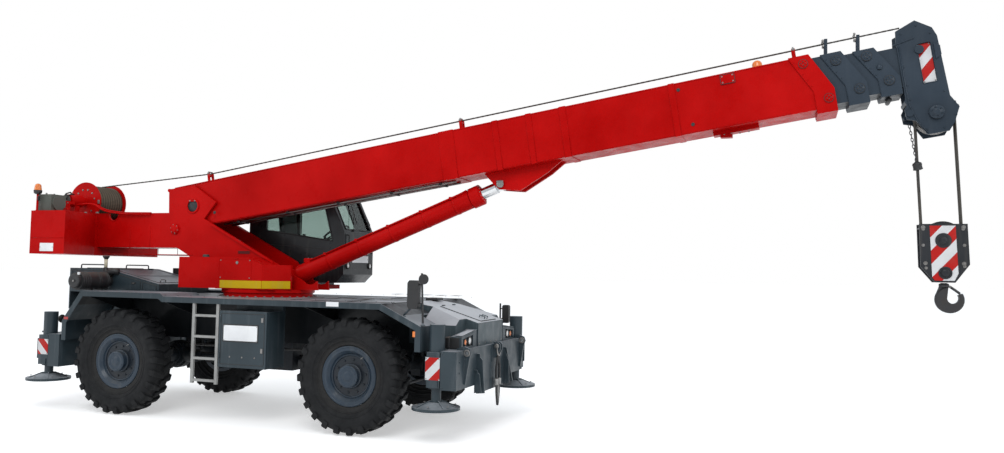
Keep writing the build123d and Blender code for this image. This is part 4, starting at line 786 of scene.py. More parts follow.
# ---------------------------------------------------------------- rear, hood and deck
def rear():
    p = Piece("rear_details", "carrier", PAINT)
    top, low = (-2.600, 1.890), (-1.660, 1.685)
    for s, n in SIDES:
        y = s * 0.5205
        # seams of the hood's side panels, their handles and catches
        for pts in (((-3.22, 1.60), (-3.22, 1.855), (-2.62, 1.855), (-2.62, 1.60)),
                    ((-2.58, 1.60), (-2.58, 1.850), (-1.98, 1.722), (-1.98, 1.60)),
                    ((-1.94, 1.60), (-1.94, 1.712), (-1.70, 1.662), (-1.70, 1.60))):
            p.pipe([at(x, y, z) for x, z in pts], 0.004, BLACK, 6, 0.012)
        for x, z in ((-2.50, 1.790), (-2.10, 1.690), (-3.12, 1.800), (-2.74, 1.800)):
            p.slab(at(x - 0.035, y, z - 0.012), at(x + 0.035, s * 0.530, z + 0.012), BLACK, 0.004)
            p.bolt(at(x, s * 0.530, z), n, 0.006, STEEL)
        for k in range(7):
            z = 1.635 + k * 0.022
            p.slab(at(-3.16, s * 0.518, z), at(-2.78, s * 0.528, z + 0.009), PAINT, 0.002,
                   Matrix.Rotation(s * 0.35, 3, "X"))
        for x in (-3.20, -2.95, -2.66, -2.54, -2.3, -2.02, -1.9, -1.73):
            p.bolt(at(x, y, 1.605), n, 0.006, PAINT)
        # grab rails over the hood
        z = 1.892
        p.pipe(on_side(s, (-3.15, 0.43, z - 0.002), (-3.15, 0.43, z + 0.05),
                       (-2.72, 0.43, z + 0.05), (-2.72, 0.43, z - 0.002)), 0.009, PAINT, 10, 0.04)
        # rear lamps on the wall
        for yy, mat, r in ((0.86, "red_lens", 0.048), (0.74, "orange_lens", 0.044),
                           (0.63, "lamp_lens", 0.036)):
            c = at(-3.004, s * yy, 1.18)
            p.lathe(c, c + BACK, [(0, r * 1.2), (0.012, r * 1.2), (0.016, r * 1.05)], BLACK, 28)
            p.lathe(c - Vector((0.012, 0, 0)), c + BACK,
                    [(0, r), (0.010, r * 0.92), (0.018, r * 0.6), (0.021, 0.004)], mat, 28)
        for z in (0.66, 0.80, 1.02):
            p.bolt(at(-3.004, s * 1.17, z), BACK, 0.009, STEEL)
        # weld seams on the rear wall
        p.pipe(on_side(s, (REAR_WALL, 0.50, 0.56), (REAR_WALL, 0.50, 1.08)), 0.004, PAINT, 6)
    # louvres in the hood's rear face, with a frame
    for k in range(15):
        z = 1.385 + k * 0.031
        p.box(at(-3.272, -0.42, z), at(-3.266, 0.42, z + 0.020), BLACK, 0.002,
              Matrix.Rotation(0.5, 3, "Y"))
    p.outline([at(-3.267, y, z) for y, z in corners(-0.45, 0.45, 1.36, 1.86)], 0.006, PAINT, 6,
              0.02)
    # lids and their hinges on the hood's top and slope
    slope = atan2(top[1] - low[1], low[0] - top[0])

    def on_slope(u, y, h=0.002):
        return at(top[0] + u * cos(slope) + h * sin(slope), y,
                  top[1] - u * sin(slope) + h * cos(slope))

    p.outline([on_slope(u, y) for u, y in corners(0.06, 0.88, -0.44, 0.44)], 0.004, BLACK, 6, 0.02)
    p.pipe([on_slope(0.47, -0.44), on_slope(0.47, 0.44)], 0.003, BLACK, 6)
    for yy in (-0.3, 0.3):
        p.bar(on_slope(0.05, yy - 0.05, 0.008), on_slope(0.05, yy + 0.05, 0.008), 0.008, PAINT, 10)
        p.pipe([on_slope(0.83, yy - 0.05, 0.0), on_slope(0.83, yy - 0.05, 0.03),
                on_slope(0.83, yy + 0.05, 0.03), on_slope(0.83, yy + 0.05, 0.0)], 0.006, STEEL, 8,
               0.015)
    for k in range(9):
        x = -3.18 + k * 0.058
        p.box(at(x, -0.30, 1.890), at(x + 0.022, 0.30, 1.897), BLACK, 0.002)
    # exhaust with its shield at the hood's left
    ex = at(-2.35, 0.62, 1.60)
    p.lathe(ex, ex + UP, [(-0.05, 0.062), (0, 0.062), (0.02, 0.055), (0.30, 0.055), (0.31, 0.05)],
            "cast_iron", 32)
    p.pipe([at(-2.35, 0.50, 1.66), at(-2.35, 0.58, 1.66)], 0.035, "cast_iron", 16)
    # ribs, band, cap and duct of the air cleaner
    x, z = -2.540, 1.718
    for yy in (-1.075, -1.04, -1.00, -0.96, -0.80, -0.77, -0.66, -0.63):
        c = at(x, yy, z)
        p.lathe(c, c + LEFT, [(0, 0.1195), (0.003, 0.1245), (0.014, 0.1245), (0.017, 0.1195)],
                BLACK, 48, caps=False)
    c = at(x, -1.130, z)
    p.lathe(c, c + RIGHT, [(0, 0.096), (0.006, 0.090), (0.008, 0.060), (0.004, 0.052),
                           (0.004, 0.02)], BLACK, 40)
    p.bar(at(x, -1.134, z), at(x, -1.150, z), 0.014, STEEL, 16)
    p.box(at(x + 0.045, -1.128, z + 0.080), at(x + 0.075, -1.095, z + 0.118), WHITE, 0.006)
    p.pipe([at(x, -0.56, z + 0.02), at(x + 0.02, -0.58, z + 0.10), at(x + 0.10, -0.56, z + 0.14),
            at(x + 0.16, -0.50, z + 0.12)], 0.045, BLACK, 18, 0.05)
    # tail rest: a post up to the tail, its flared top and dark foot
    px, py = -2.545, -0.585
    c = at(px, py, 1.60)
    p.lathe(c, c + UP, [(-0.01, 0.036), (0.0, 0.036), (0.30, 0.030), (0.305, 0.022)], BLACK, 24)
    p.lathe(c, c + UP, [(0.30, 0.022), (0.425, 0.024)], "cream_paint", 24)
    p.lathe(c, c + UP, [(0.42, 0.024), (0.455, 0.046), (0.468, 0.046)], BLACK, 24)
    c = at(px + 0.035, py - 0.02, 1.655)
    p.lathe(c, c + RIGHT, [(0, 0.020), (0.012, 0.018), (0.014, 0.008)], "orange_paint", 20)
    # blank number plate and the towing jaw
    p.plate([at(REAR_WALL, y, z) for y, z in corners(-0.26, 0.26, 0.92, 1.03)], (-0.003, 0, 0),
            WHITE, 0.001)
    p.lathe(at(-3.004, 0, 0.72), at(-3.1, 0, 0.72), [(0, 0.075), (0.012, 0.072), (0.014, 0.05)],
            STEEL, 32)
    p.ring_of_bolts(at(REAR_WALL, 0, 0.72), BACK, 0.105, 6, 0.010, STEEL)
    p.done()


def sides():
    p = Piece("side_details", "carrier", PAINT)
    for s, n in SIDES:

        def flat(x0, x1, z0, z1, y, thick, mat, bevel=0.001):
            p.slab(at(x0, s * y, z0), at(x1, s * (y + thick), z1), mat, bevel)

        # blank sign with its dark rounded border
        flat(-0.012, 0.507, 1.023, 1.240, BOX_WALL, 0.0025, BLACK)
        flat(0.003, 0.492, 1.038, 1.225, 1.2425, 0.0012, WHITE)
        for x in (0.012, 0.483):
            for z in (1.047, 1.216):
                p.bolt(at(x, s * 1.2436, z), n, 0.004, STEEL)
        # door of the side box: seam, hinges, catches
        p.outline([at(x, s * BOX_WALL, z) for x, z in corners(-0.04, 0.59, 0.75, 1.37)], 0.0035,
                  BLACK, 6, 0.02)
        for z in (0.86, 1.30):
            p.bar(at(-0.052, s * 1.2405, z - 0.04), at(-0.052, s * 1.2405, z + 0.04), 0.008, PAINT,
                  10)
        for z in (0.93, 1.30):
            flat(0.545, 0.575, z - 0.028, z + 0.028, 1.2395, 0.008, STEEL, 0.003)
        for k in range(3):
            c = at(0.10 + 0.18 * k, s * BOX_WALL, 0.84)
            p.lathe(c, c + n, [(0, 0.010), (0.002, 0.010), (0.003, 0.004)], STEEL, 14)
        # rivets and a weld bead along the deck's edge
        for k in range(24):
            p.bolt(at(-2.30 + k * 0.2, s * DECK_EDGE, 1.570), n, 0.005, PAINT, False)
        flat(1.440, 1.607, 1.498, 1.553, DECK_EDGE, 0.0015, WHITE)
        # rear side marker
        flat(-2.555, -2.485, 1.205, 1.240, 1.2480, 0.008, "red_lens", 0.003)
    p.done()


def deck_details():
    p = Piece("deck_details", "carrier", PAINT)
    # bolts round the slew ring's foot
    count, circle, slew_x = 36, 0.64, -0.23
    for k in range(count):
        t = 2 * pi * k / count
        p.bolt(at(slew_x + circle * cos(t), circle * sin(t), DECK_TOP), UP, 0.014, STEEL)
    # deck hatch seams, lifting slots, cover plate near the nose
    for x0, x1, y0, y1 in ((0.75, 1.45, 0.20, 0.95), (0.75, 1.45, -0.95, -0.20),
                           (1.55, 2.20, 0.20, 0.95), (1.55, 2.20, -0.95, -0.20),
                           (-1.55, -1.05, 0.60, 1.10), (-1.55, -1.05, -1.10, -0.60)):
        p.outline([at(x, y, DECK_TOP) for x, y in corners(x0, x1, y0, y1)], 0.004, BLACK, 6, 0.02)
        for x in (x0 + 0.05, x1 - 0.05):
            for y in (y0 + 0.05, y1 - 0.05):
                p.bolt(at(x, y, DECK_TOP), UP, 0.007, STEEL)
    p.box(at(2.08, 0.15, 1.550), at(2.25, 0.35, 1.585), BLACK, 0.008)
    # anti-slip strips over the front fenders
    for s in (-1, 1):
        for k in range(5):
            x = 1.15 + k * 0.23
            p.slab(at(x, s * 1.00, 1.590), at(x + 0.11, s * 1.20, 1.5925), BLACK, 0.001)
    # pipes along the frame between the axles, seen below the side boxes
    for y, r in ((-0.62, 0.014), (-0.585, 0.010), (0.60, 0.014)):
        p.pipe([at(-1.0, y, 0.90), at(0.9, y, 0.90)], r, BLACK, 8)
    p.done()


BEAM_END, BEAM_HALF = 1.2502, 0.093
BEAM_X = {"front_right": 2.824, "front_left": 3.016, "rear_right": -2.8995,
          "rear_left": -2.7075}


def outriggers():
    """Warning plates with their bolts on the beams' ends, rings and bolts on the jacks' feet."""
    for corner, end, side in CORNERS:
        mat = "beam_stripes" if end > 0 else "rear_stripes"
        mid_x = BEAM_X[corner]
        x0, x1 = OX + mid_x - BEAM_HALF, OX + mid_x + BEAM_HALF
        z0, z1 = (0.712, 0.975) if end > 0 else (0.720, 0.935)
        p = Piece("beam_details_" + corner, "beam_" + corner, PAINT)
        n = Vector((0, side, 0))
        y = side * BEAM_END
        p.plate([(x, y, z) for x, z in corners(x0 + 0.006, x1 - 0.006, z0 + 0.006, z1 - 0.006)],
                n * 0.003, mat, 0.001)
        for x in (x0 + 0.016, x1 - 0.016):
            for z in (z0 + 0.018, z1 - 0.018):
                p.bolt(Vector((x, y + side * 0.003, z)), n, 0.005, STEEL)
        p.done()
        low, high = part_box("jack_" + corner)
        mid = (low + high) / 2
        p = Piece("jack_details_" + corner, "jack_" + corner, PAINT)
        foot = Vector((mid.x, mid.y, low.z))
        r = min(high.x - low.x, high.y - low.y) / 2
        p.lathe(foot, foot + UP, [(0.012, r * 0.985), (0.020, r * 0.99), (0.026, r * 0.97)], PAINT,
                48, caps=False)
        for k in range(6):
            t = 2 * pi * (k + 0.5) / 6
            d = Vector((cos(t), sin(t), 0))
            p.bolt(foot + d * r * 0.80 + Vector((0, 0, 0.052)), UP, 0.010, STEEL)
        p.done()


# ---------------------------------------------------------------- boom
HALF = (0.230, 0.200, 0.170, 0.140)          # half width of each section
HIGH = (0.323, 0.293, 0.263, 0.233)
LOW = (-0.291, -0.261, -0.231, -0.201)
COLLAR_U, COLLAR_PITCH, COLLAR_SLANT, KNEE = 8.055, 0.330, 0.205, -0.085
PROUD = 0.012                                # collars off their section
LUFF_EYE = (4.503, -0.451)                   # the luff cylinder's pin on the boom
GUIDES = (0.12, 4.05, 8.13)                  # rope guides along the base
GUIDE_AHEAD = 0.065                          # a section's rope guide, ahead of its collar
N_UP = Vector((-SIN_B, 0, COS_B))
N_ALONG = Vector((COS_B, 0, SIN_B))


def pad_cover(piece, u, w, y, side, r, mat, bolts=6):
    """A bolted cover with a raised boss."""
    c, n = on_boom(u, w, side * y), Vector((0, side, 0))
    piece.lathe(c, c + n, [(0.0, r * 0.98), (0.004, r * 0.93), (0.005, r * 0.55),
                           (0.012, r * 0.50), (0.014, r * 0.32), (0.009, r * 0.28)], mat, 32)
    piece.ring_of_bolts(c + n * 0.003, n, r * 0.76, bolts, 0.0055, mat)
    # dark joint round it, and the slots of the boss
    ring(piece, c, n, r * 1.07, r * 0.97, 0.0022, BLACK, 32)
    for k in range(4):
        d = N_UP * cos(pi * k / 2) + N_ALONG * sin(pi * k / 2)
        a = c + n * 0.0125 + d * r * 0.42
        piece.lathe(a, a + n, [(0, r * 0.14), (0.002, r * 0.13)], BLACK, 10)


def collar_edge(piece, rear, high, low, y, mat):
    """The weld down a collar's slanted rear edge, on one side."""
    piece.pipe([on_boom(rear, high, y), on_boom(rear + COLLAR_SLANT, KNEE, y),
                on_boom(rear + COLLAR_SLANT, low - 0.03, y)], 0.004, mat, 6)


def collar_u(rear, high, w):
    """Where a collar's slanted rear edge is at the height w."""
    return rear + COLLAR_SLANT * (high + PROUD - w) / (high + PROUD - KNEE)


def boom_base():
    p = Piece("boom_base_details", "boom_base", RED)
    half, high, low = HALF[0], HIGH[0], LOW[0]
    for s, n in SIDES:
        for u, w in ((8.199, 0.238), (8.40, -0.188)):
            pad_cover(p, u, w, half + PROUD + 0.009, s, 0.048, RED)
        # weld seams along the tube's corners
        for w in (high - 0.012, low + 0.012):
            p.pipe([on_boom(-0.32, w, s * (half + 0.001)), on_boom(8.0, w, s * (half + 0.001))],
                   0.005, RED, 6)
        # edges of the doublers
        for u in (3.8, 4.0, 4.53, 4.6, 4.97, 5.04, 5.4, 5.48, 6.72, 6.79):
            p.pipe([on_boom(u, low, s * (half + 0.004)), on_boom(u, high, s * (half + 0.004))],
                   0.0035, RED, 6)
        # dark discs in the plug holes as painted shade, and a dark outline round the blank name
        # plate as painted shadow at its edge
        for u, w in ((6.83, 0.238), (6.935, -0.191)):
            c = on_boom(u, w, s * (half + 0.001))
            p.lathe(c, c + n, [(0, 0.021), (0.005, 0.020), (0.006, 0.014), (0.003, 0.011)], BLACK,
                    20)
        p.outline([on_boom(u, w, s * (half + 0.008)) for u, w in
                   corners(7.31, 7.465, 0.195, 0.305)], 0.0035, IRON, 6, 0.004)
        for u in (7.33, 7.445):
            for w in (0.215, 0.285):
                p.bolt(on_boom(u, w, s * (half + 0.008)), n, 0.006, STEEL)
        # bolts round the collar, and its rear weld
        for k in range(5):
            w = high - 0.05 - k * 0.075
            u = collar_u(COLLAR_U, high, w)
            p.bolt(on_boom(u + 0.022, w, s * (half + PROUD)), n, 0.0065, RED)
        collar_edge(p, COLLAR_U, high, low, s * (half + PROUD), RED)
        # pin, keeper and grease nipple of the cylinder's bracket
        c = on_boom(*LUFF_EYE, s * 0.127)
        p.lathe(c, c + n, [(0, 0.05), (0.010, 0.048), (0.014, 0.040)], STEEL, 28)
        p.box(c + Vector((-0.045, 0.010 if s > 0 else -0.018, 0.020)),
              c + Vector((0.045, 0.018 if s > 0 else -0.010, 0.042)), STEEL, 0.002)
    # valve and hose block at the tip of the base, on its underside
    p.box(on_boom(7.20, low - 0.075, -0.05),
          on_boom(7.34, low - 0.045, 0.05) + Vector((0, 0, 0.02)), RED, 0.004)
    for u in (7.25, 7.33, 7.42, 7.52):
        for y in (-0.055, 0.055):
            p.bolt(on_boom(u, low - 0.048, y), -N_UP, 0.008, STEEL)
    # pipes of the luffing and telescope circuits along the underside
    for y, r in ((-0.10, 0.011), (-0.065, 0.011), (0.09, 0.014)):
        p.pipe([on_boom(0.35, low - 0.02, y), on_boom(3.9, low - 0.02, y)], r, STEEL, 8)
        for u in (0.6, 1.4, 2.2, 3.0, 3.7):
            p.box(on_boom(u, low - 0.012, y) - Vector((0.02, 0.02, 0.026)),
                  on_boom(u, low - 0.012, y) + Vector((0.02, 0.02, 0.012)), BLACK, 0.004)
    # dome of the lamp on the boom's back
    c = on_boom(7.725, high + 0.012)
    p.lathe(c, c + N_UP, [(0, 0.062), (0.006, 0.064), (0.012, 0.058), (0.070, 0.056),
                          (0.094, 0.042), (0.106, 0.022), (0.110, 0.004)], "orange_lens", 28)
    # cheeks and rollers of the rope guides
    for u in GUIDES:
        for s in (-1, 1):
            a = on_boom(u, 0.475, s * 0.049)
            p.bolt(a, (0, s, 0), 0.012, STEEL)
            p.box(on_boom(u, high + 0.013, s * 0.043) - Vector((0.045, 0.02, 0.004)),
                  on_boom(u, high + 0.013, s * 0.043) + Vector((0.045, 0.02, 0.006)), RED, 0.003)
        p.bar(on_boom(u, 0.4955, -0.044), on_boom(u, 0.4955, 0.044), 0.009, STEEL, 12)
    p.done()


def boom_sections():
    for level, body in ((1, "boom_section_2"), (2, "boom_section_3")):
        p = Piece(body + "_details", body, GREY)
        half, high, low = HALF[level], HIGH[level], LOW[level]
        rear = COLLAR_U + level * COLLAR_PITCH
        caps = {1: ((8.534, 0.209), (8.720, -0.145)), 2: ((8.845, 0.194), (9.023, -0.112))}[level]
        for s, n in SIDES:
            for u, w in caps:
                c = on_boom(u, w, s * (half + PROUD))
                p.lathe(c, c + n, [(0, 0.056), (0.010, 0.054), (0.012, 0.050)], GREY, 36)
                pad_cover(p, u, w, half + PROUD + 0.010, s, 0.050, GREY)
            collar_edge(p, rear, high, low, s * (half + PROUD), GREY)
            for k in range(4):
                w = high - 0.05 - k * 0.08
                u = collar_u(rear, high, w)
                p.bolt(on_boom(u + 0.020, w, s * (half + PROUD)), n, 0.006, GREY)
        # rope guide: two posts, a roller and a keeper rod over the rope
        u = rear + GUIDE_AHEAD
        for s in (-1, 1):
            p.box(on_boom(u, high, s * 0.040) - Vector((0.018, 0.006, 0)),
                  on_boom(u, high, s * 0.040) + Vector((0.018, 0.006, 0.225)), GREY, 0.004)
            p.bolt(on_boom(u, 0.50, s * 0.046), (0, s, 0), 0.010, STEEL)
        p.bar(on_boom(u, 0.442, -0.036), on_boom(u, 0.442, 0.036), 0.017, STEEL, 20)
        p.bar(on_boom(u, 0.497, -0.044), on_boom(u, 0.497, 0.044), 0.009, STEEL, 12)
        if level == 2:
            # lever's boss and roller under the last collar
            for s in (-1, 1):
                c = on_boom(8.951, 0.048, s * (half + PROUD))
                p.lathe(c, c + Vector((0, s, 0)), [(0, 0.030), (0.012, 0.028), (0.02, 0.018)],
                        GREY, 24)
            p.bar(on_boom(9.0, low - 0.074, -0.11), on_boom(9.0, low - 0.074, 0.11), 0.024, BLACK,
                  20)
        p.done()


def boom_head():
    p = Piece("boom_head_details", "boom_head", GREY)
    half = HALF[3]
    face = half + 0.020
    for s, n in SIDES:
        # warning panel in the slot
        y = s * (half + 0.0012)
        p.plate([on_boom(u, w, y) for u, w in corners(9.349, 9.474, -0.206, 0.216)],
                (0, s * 0.003, 0), "head_stripes", 0.001)
        for u, w in ((9.36, -0.195), (9.463, -0.195), (9.36, 0.205), (9.463, 0.205)):
            p.bolt(on_boom(u, w, s * (half + 0.004)), n, 0.005, STEEL)
        # frame round the slot
        p.outline([on_boom(u, w, s * face) for u, w in corners(9.342, 9.481, -0.213, 0.223)],
                  0.005, GREY, 6)
        # cap of the lower sheave pin
        c, r = on_boom(9.413, -0.538, s * (face + 0.02)), 0.074
        p.lathe(c, c + n, [(0.0, r), (0.008, r), (0.012, r * 0.9), (0.013, r * 0.55),
                           (0.022, r * 0.50), (0.024, r * 0.3)], GREY, 36)
        p.ring_of_bolts(c + n * 0.012, n, r * 0.74, 6, 0.007, GREY)
        # bolts along the plate's edge
        for u, w in ((9.30, -0.70), (9.46, -0.715), (9.59, -0.60), (9.60, -0.46), (9.52, -0.33),
                     (9.52, 0.10), (9.49, 0.31), (9.37, 0.42), (9.21, 0.36), (9.19, 0.0),
                     (9.19, -0.2), (9.19, -0.36)):
            p.bolt(on_boom(u, w, s * face), n, 0.008, GREY)
        # stiffening rib down the plate's rear edge
        p.pipe([on_boom(9.172, 0.23, s * (face + 0.002)),
                on_boom(9.168, -0.40, s * (face + 0.002)),
                on_boom(9.225, -0.60, s * (face + 0.002)),
                on_boom(9.30, -0.735, s * (face + 0.002))], 0.008, GREY, 8)
    # rods that keep the rope on the lower sheaves, clear of the falls
    for u, w in ((9.535, -0.70), (9.625, -0.50)):
        p.bar(on_boom(u, w, -half), on_boom(u, w, half), 0.013, STEEL, 16)
    # jib lugs at the front of the head
    for s in (-1, 1):
        p.plate([on_boom(9.50, 0.20, s * face), on_boom(9.56, 0.16, s * face),
                 on_boom(9.56, 0.06, s * face), on_boom(9.50, 0.02, s * face)], (0, s * 0.016, 0),
                GREY, 0.004)
    # anti-two-block switch under the rear of the head
    c = on_boom(9.21, -0.43, -0.12)
    p.block(c, (0.03, 0.02, 0.045), BLACK, 0.008)
    p.done()


# ---------------------------------------------------------------- hoist rope
def rope_piece(name, body, runs, r=0.010, slot="rope_steel"):
    """A laid rope: six strands twisted round the line of points."""
    p = Piece(name, body, slot)
    for points in runs:
        pts = [Vector(q) for q in points]
        for a, b in zip(pts, pts[1:]):
            length = (b - a).length
            d = (b - a).normalized()
            side = d.orthogonal().normalized()
            other = d.cross(side)
            steps = max(2, min(260, int(length / 0.035)))
            segs = 8
            verts = []
            for i in range(steps + 1):
                h = length * i / steps
                for k in range(segs):
                    t = 2 * pi * k / segs + h * 22
                    rr = r * (1.0 if k % 2 else 0.86)
                    verts.append(a + d * h + (side * cos(t) + other * sin(t)) * rr)
            p.add(verts, skin(steps + 1, segs), "rope_steel", True)
    return p.done()


ROPE_W = 0.470                               # the rope's line over the boom
ROPE_BEND = (-1.95, 3.235)                   # where the real rope bends with the luff joint; here the rope is drawn straight and the point only rides along with its bodies


def hoist_rope():
    # from the drum's top to the first guide, and then one straight line over the boom
    drum_top = at(WINCH_X, 0.06, WINCH_Z + 0.252)
    first, last = on_boom(GUIDES[0], ROPE_W), on_boom(GUIDES[-1], ROPE_W)
    rope_piece("rope_drum_to_boom", ("superstructure", "boom_base", at(ROPE_BEND[0], 0,
                                                                       ROPE_BEND[1]), first),
               [[drum_top, first]])
    rope_piece("rope_over_base", "boom_base", [[first, last]])
    for level, body, r in ((1, "boom_section_2", 0.0098), (2, "boom_section_3", 0.0096)):
        u = COLLAR_U + level * COLLAR_PITCH + GUIDE_AHEAD
        rope_piece("rope_" + body, body, [[on_boom(u - 6.9, ROPE_W), on_boom(u, ROPE_W)]], r)
    rope_piece("rope_boom_head", "boom_head", [[on_boom(2.5, ROPE_W), on_boom(9.235, ROPE_W)]],
               0.0094)


# ---------------------------------------------------------------- hook block
BLOCK = Vector((8.1145, 0.0, 2.350))
HOOK_X = BLOCK.x + 0.015                     # the shank, a little ahead of the plates' middle
CROSSHEAD_Z = BLOCK.z - 0.339


def hook_block():
    p = Piece("hook_block_details", "hook_block", "block_paint")
    x, z = BLOCK.x, BLOCK.z
    panel = [(7.986, 2.506), (8.230, 2.506), (8.252, 2.006), (8.216, 1.930), (8.030, 1.930),
             (8.006, 1.966)]
    for s, n in SIDES:
        y = s * 0.0972
        p.plate([at(a, y, b) for a, b in panel], (0, s * 0.003, 0), "block_stripes", 0.002)
        for a, b in ((7.925, 2.47), (8.30, 2.47), (7.925, 2.30), (8.31, 2.30), (7.95, 2.06),
                     (8.31, 2.08)):
            p.bolt(at(a, s * 0.0975, b), n, 0.011, STEEL)
        c = at(x, s * 0.105, z)
        p.lathe(c, c + n, [(0, 0.040), (0.008, 0.038), (0.010, 0.028), (0.020, 0.025),
                           (0.022, 0.018)], "block_paint", 32)
        c = at(HOOK_X, s * 0.111, CROSSHEAD_Z)
        p.lathe(c, c + n, [(0, 0.040), (0.006, 0.036), (0.008, 0.02)], "block_paint", 28)
        ring(p, at(HOOK_X, s * 0.097, CROSSHEAD_Z), (0, s, 0), 0.066, 0.046, 0.010, "block_paint")
    # bolts of the plates' spacers
    for a, b in ((-0.19, 0.14), (0.19, 0.14), (-0.17, -0.24), (0.19, -0.24)):
        for s in (-1, 1):
            p.bolt(at(x + a, s * 0.0975, z + b), (0, s, 0), 0.014, STEEL)
    p.done()


def switch_weight():
    """The weight round the rear fall and the chain that hangs it from the head's switch."""
    top, low = at(7.800, -0.105, 3.585), at(7.868, -0.105, 3.185)
    p = Piece("switch_weight", ("boom_head", "hook_block", top, low), IRON)
    d = (low - top).normalized()
    count = 11
    step = (low - top).length / count
    for k in range(count):
        c = top + d * (k + 0.5) * step
        wide = LEFT if k % 2 else Vector((d.z, 0, -d.x))
        p.pipe([c + d * (cos(t) * step * 0.62) + wide * (sin(t) * 0.011)
                for t in (2 * pi * i / 12 for i in range(13))], 0.0042, IRON, 6, 0.001)
    p.lathe(low - d * 0.004, low + d, [(0, 0.016), (0.012, 0.030), (0.020, 0.045), (0.085, 0.045),
                                       (0.094, 0.036)], IRON, 20)
    for h in (0.026, 0.072):
        p.lathe(low + d * h, low + d, [(0, 0.0452), (0.004, 0.049), (0.010, 0.049),
                                       (0.014, 0.0452)], IRON, 20, caps=False)
    p.pipe([low + d * 0.09, at(7.885, -0.075, 3.02), at(7.905, -0.062, 2.86)], 0.005, BLACK, 6)
    p.done()


def hook():
    p = Piece("hook_details", "hook", IRON)
    c = at(HOOK_X, 0, BLOCK.z - 0.452)
    p.lathe(c, c - UP, [(0, 0.046), (0.010, 0.050), (0.030, 0.050), (0.038, 0.044)], IRON, 32)
    # latch: spring, hinge bolt and its rolled edge
    tx, tz = BLOCK.x + 0.096, BLOCK.z - 0.605
    for s in (-1, 1):
        p.bolt(at(tx - 0.030, s * 0.012, tz + 0.122), (0, s, 0), 0.009, STEEL)
    p.pipe([at(tx - 0.028, 0.0, tz + 0.132), at(tx + 0.024, 0.0, tz + 0.098),
            at(tx + 0.070, 0.0, tz + 0.062)], 0.006, STEEL, 8)
    p.done()


def luff_details():
    p = Piece("luff_barrel_details", "luff_barrel", RED)
    foot, eye = at(0.18, 0, 1.826), on_boom(*LUFF_EYE)
    d = (eye - foot).normalized()
    up = Vector((-d.z, 0, d.x))
    # gland and its bolts, feed pipe along the top, clamps and holding valve
    head = foot + d * 2.93
    p.lathe(head, head + d, [(0.0, 0.112), (0.010, 0.112), (0.014, 0.104), (0.022, 0.086),
                             (0.024, 0.0745)], RED, 48, caps=False)
    p.ring_of_bolts(head + d * 0.012, d, 0.094, 12, 0.008, STEEL)
    p.lathe(foot + d * 2.78, foot + d * 3, [(0, 0.121), (0.008, 0.130), (0.012, 0.1345)], RED, 48,
            caps=False)
    side = RIGHT
    off = up * 0.095 + side * 0.095
    p.pipe([foot + d * 0.35 + off, foot + d * 2.62 + off,
            foot + d * 2.70 + up * 0.10 + side * 0.08, foot + d * 2.78 + up * 0.11 + side * 0.07],
           0.013, RED, 10)
    for h in (0.6, 1.1, 1.6, 2.1, 2.55):
        q = foot + d * h
        p.lathe(q, q + d, [(0, 0.1205), (0.002, 0.124), (0.028, 0.124), (0.030, 0.1205)], RED, 48,
                caps=False)
        p.block(q + off, (0.02, 0.02, 0.02), RED, 0.005)
    q = foot + d * 0.30 + up * 0.12
    p.block(q, (0.07, 0.05, 0.03), RED, 0.006)
    for k in (-0.03, 0.03):
        p.bolt(q + Vector((k, 0, 0.03)), UP, 0.008, STEEL)
    p.done()


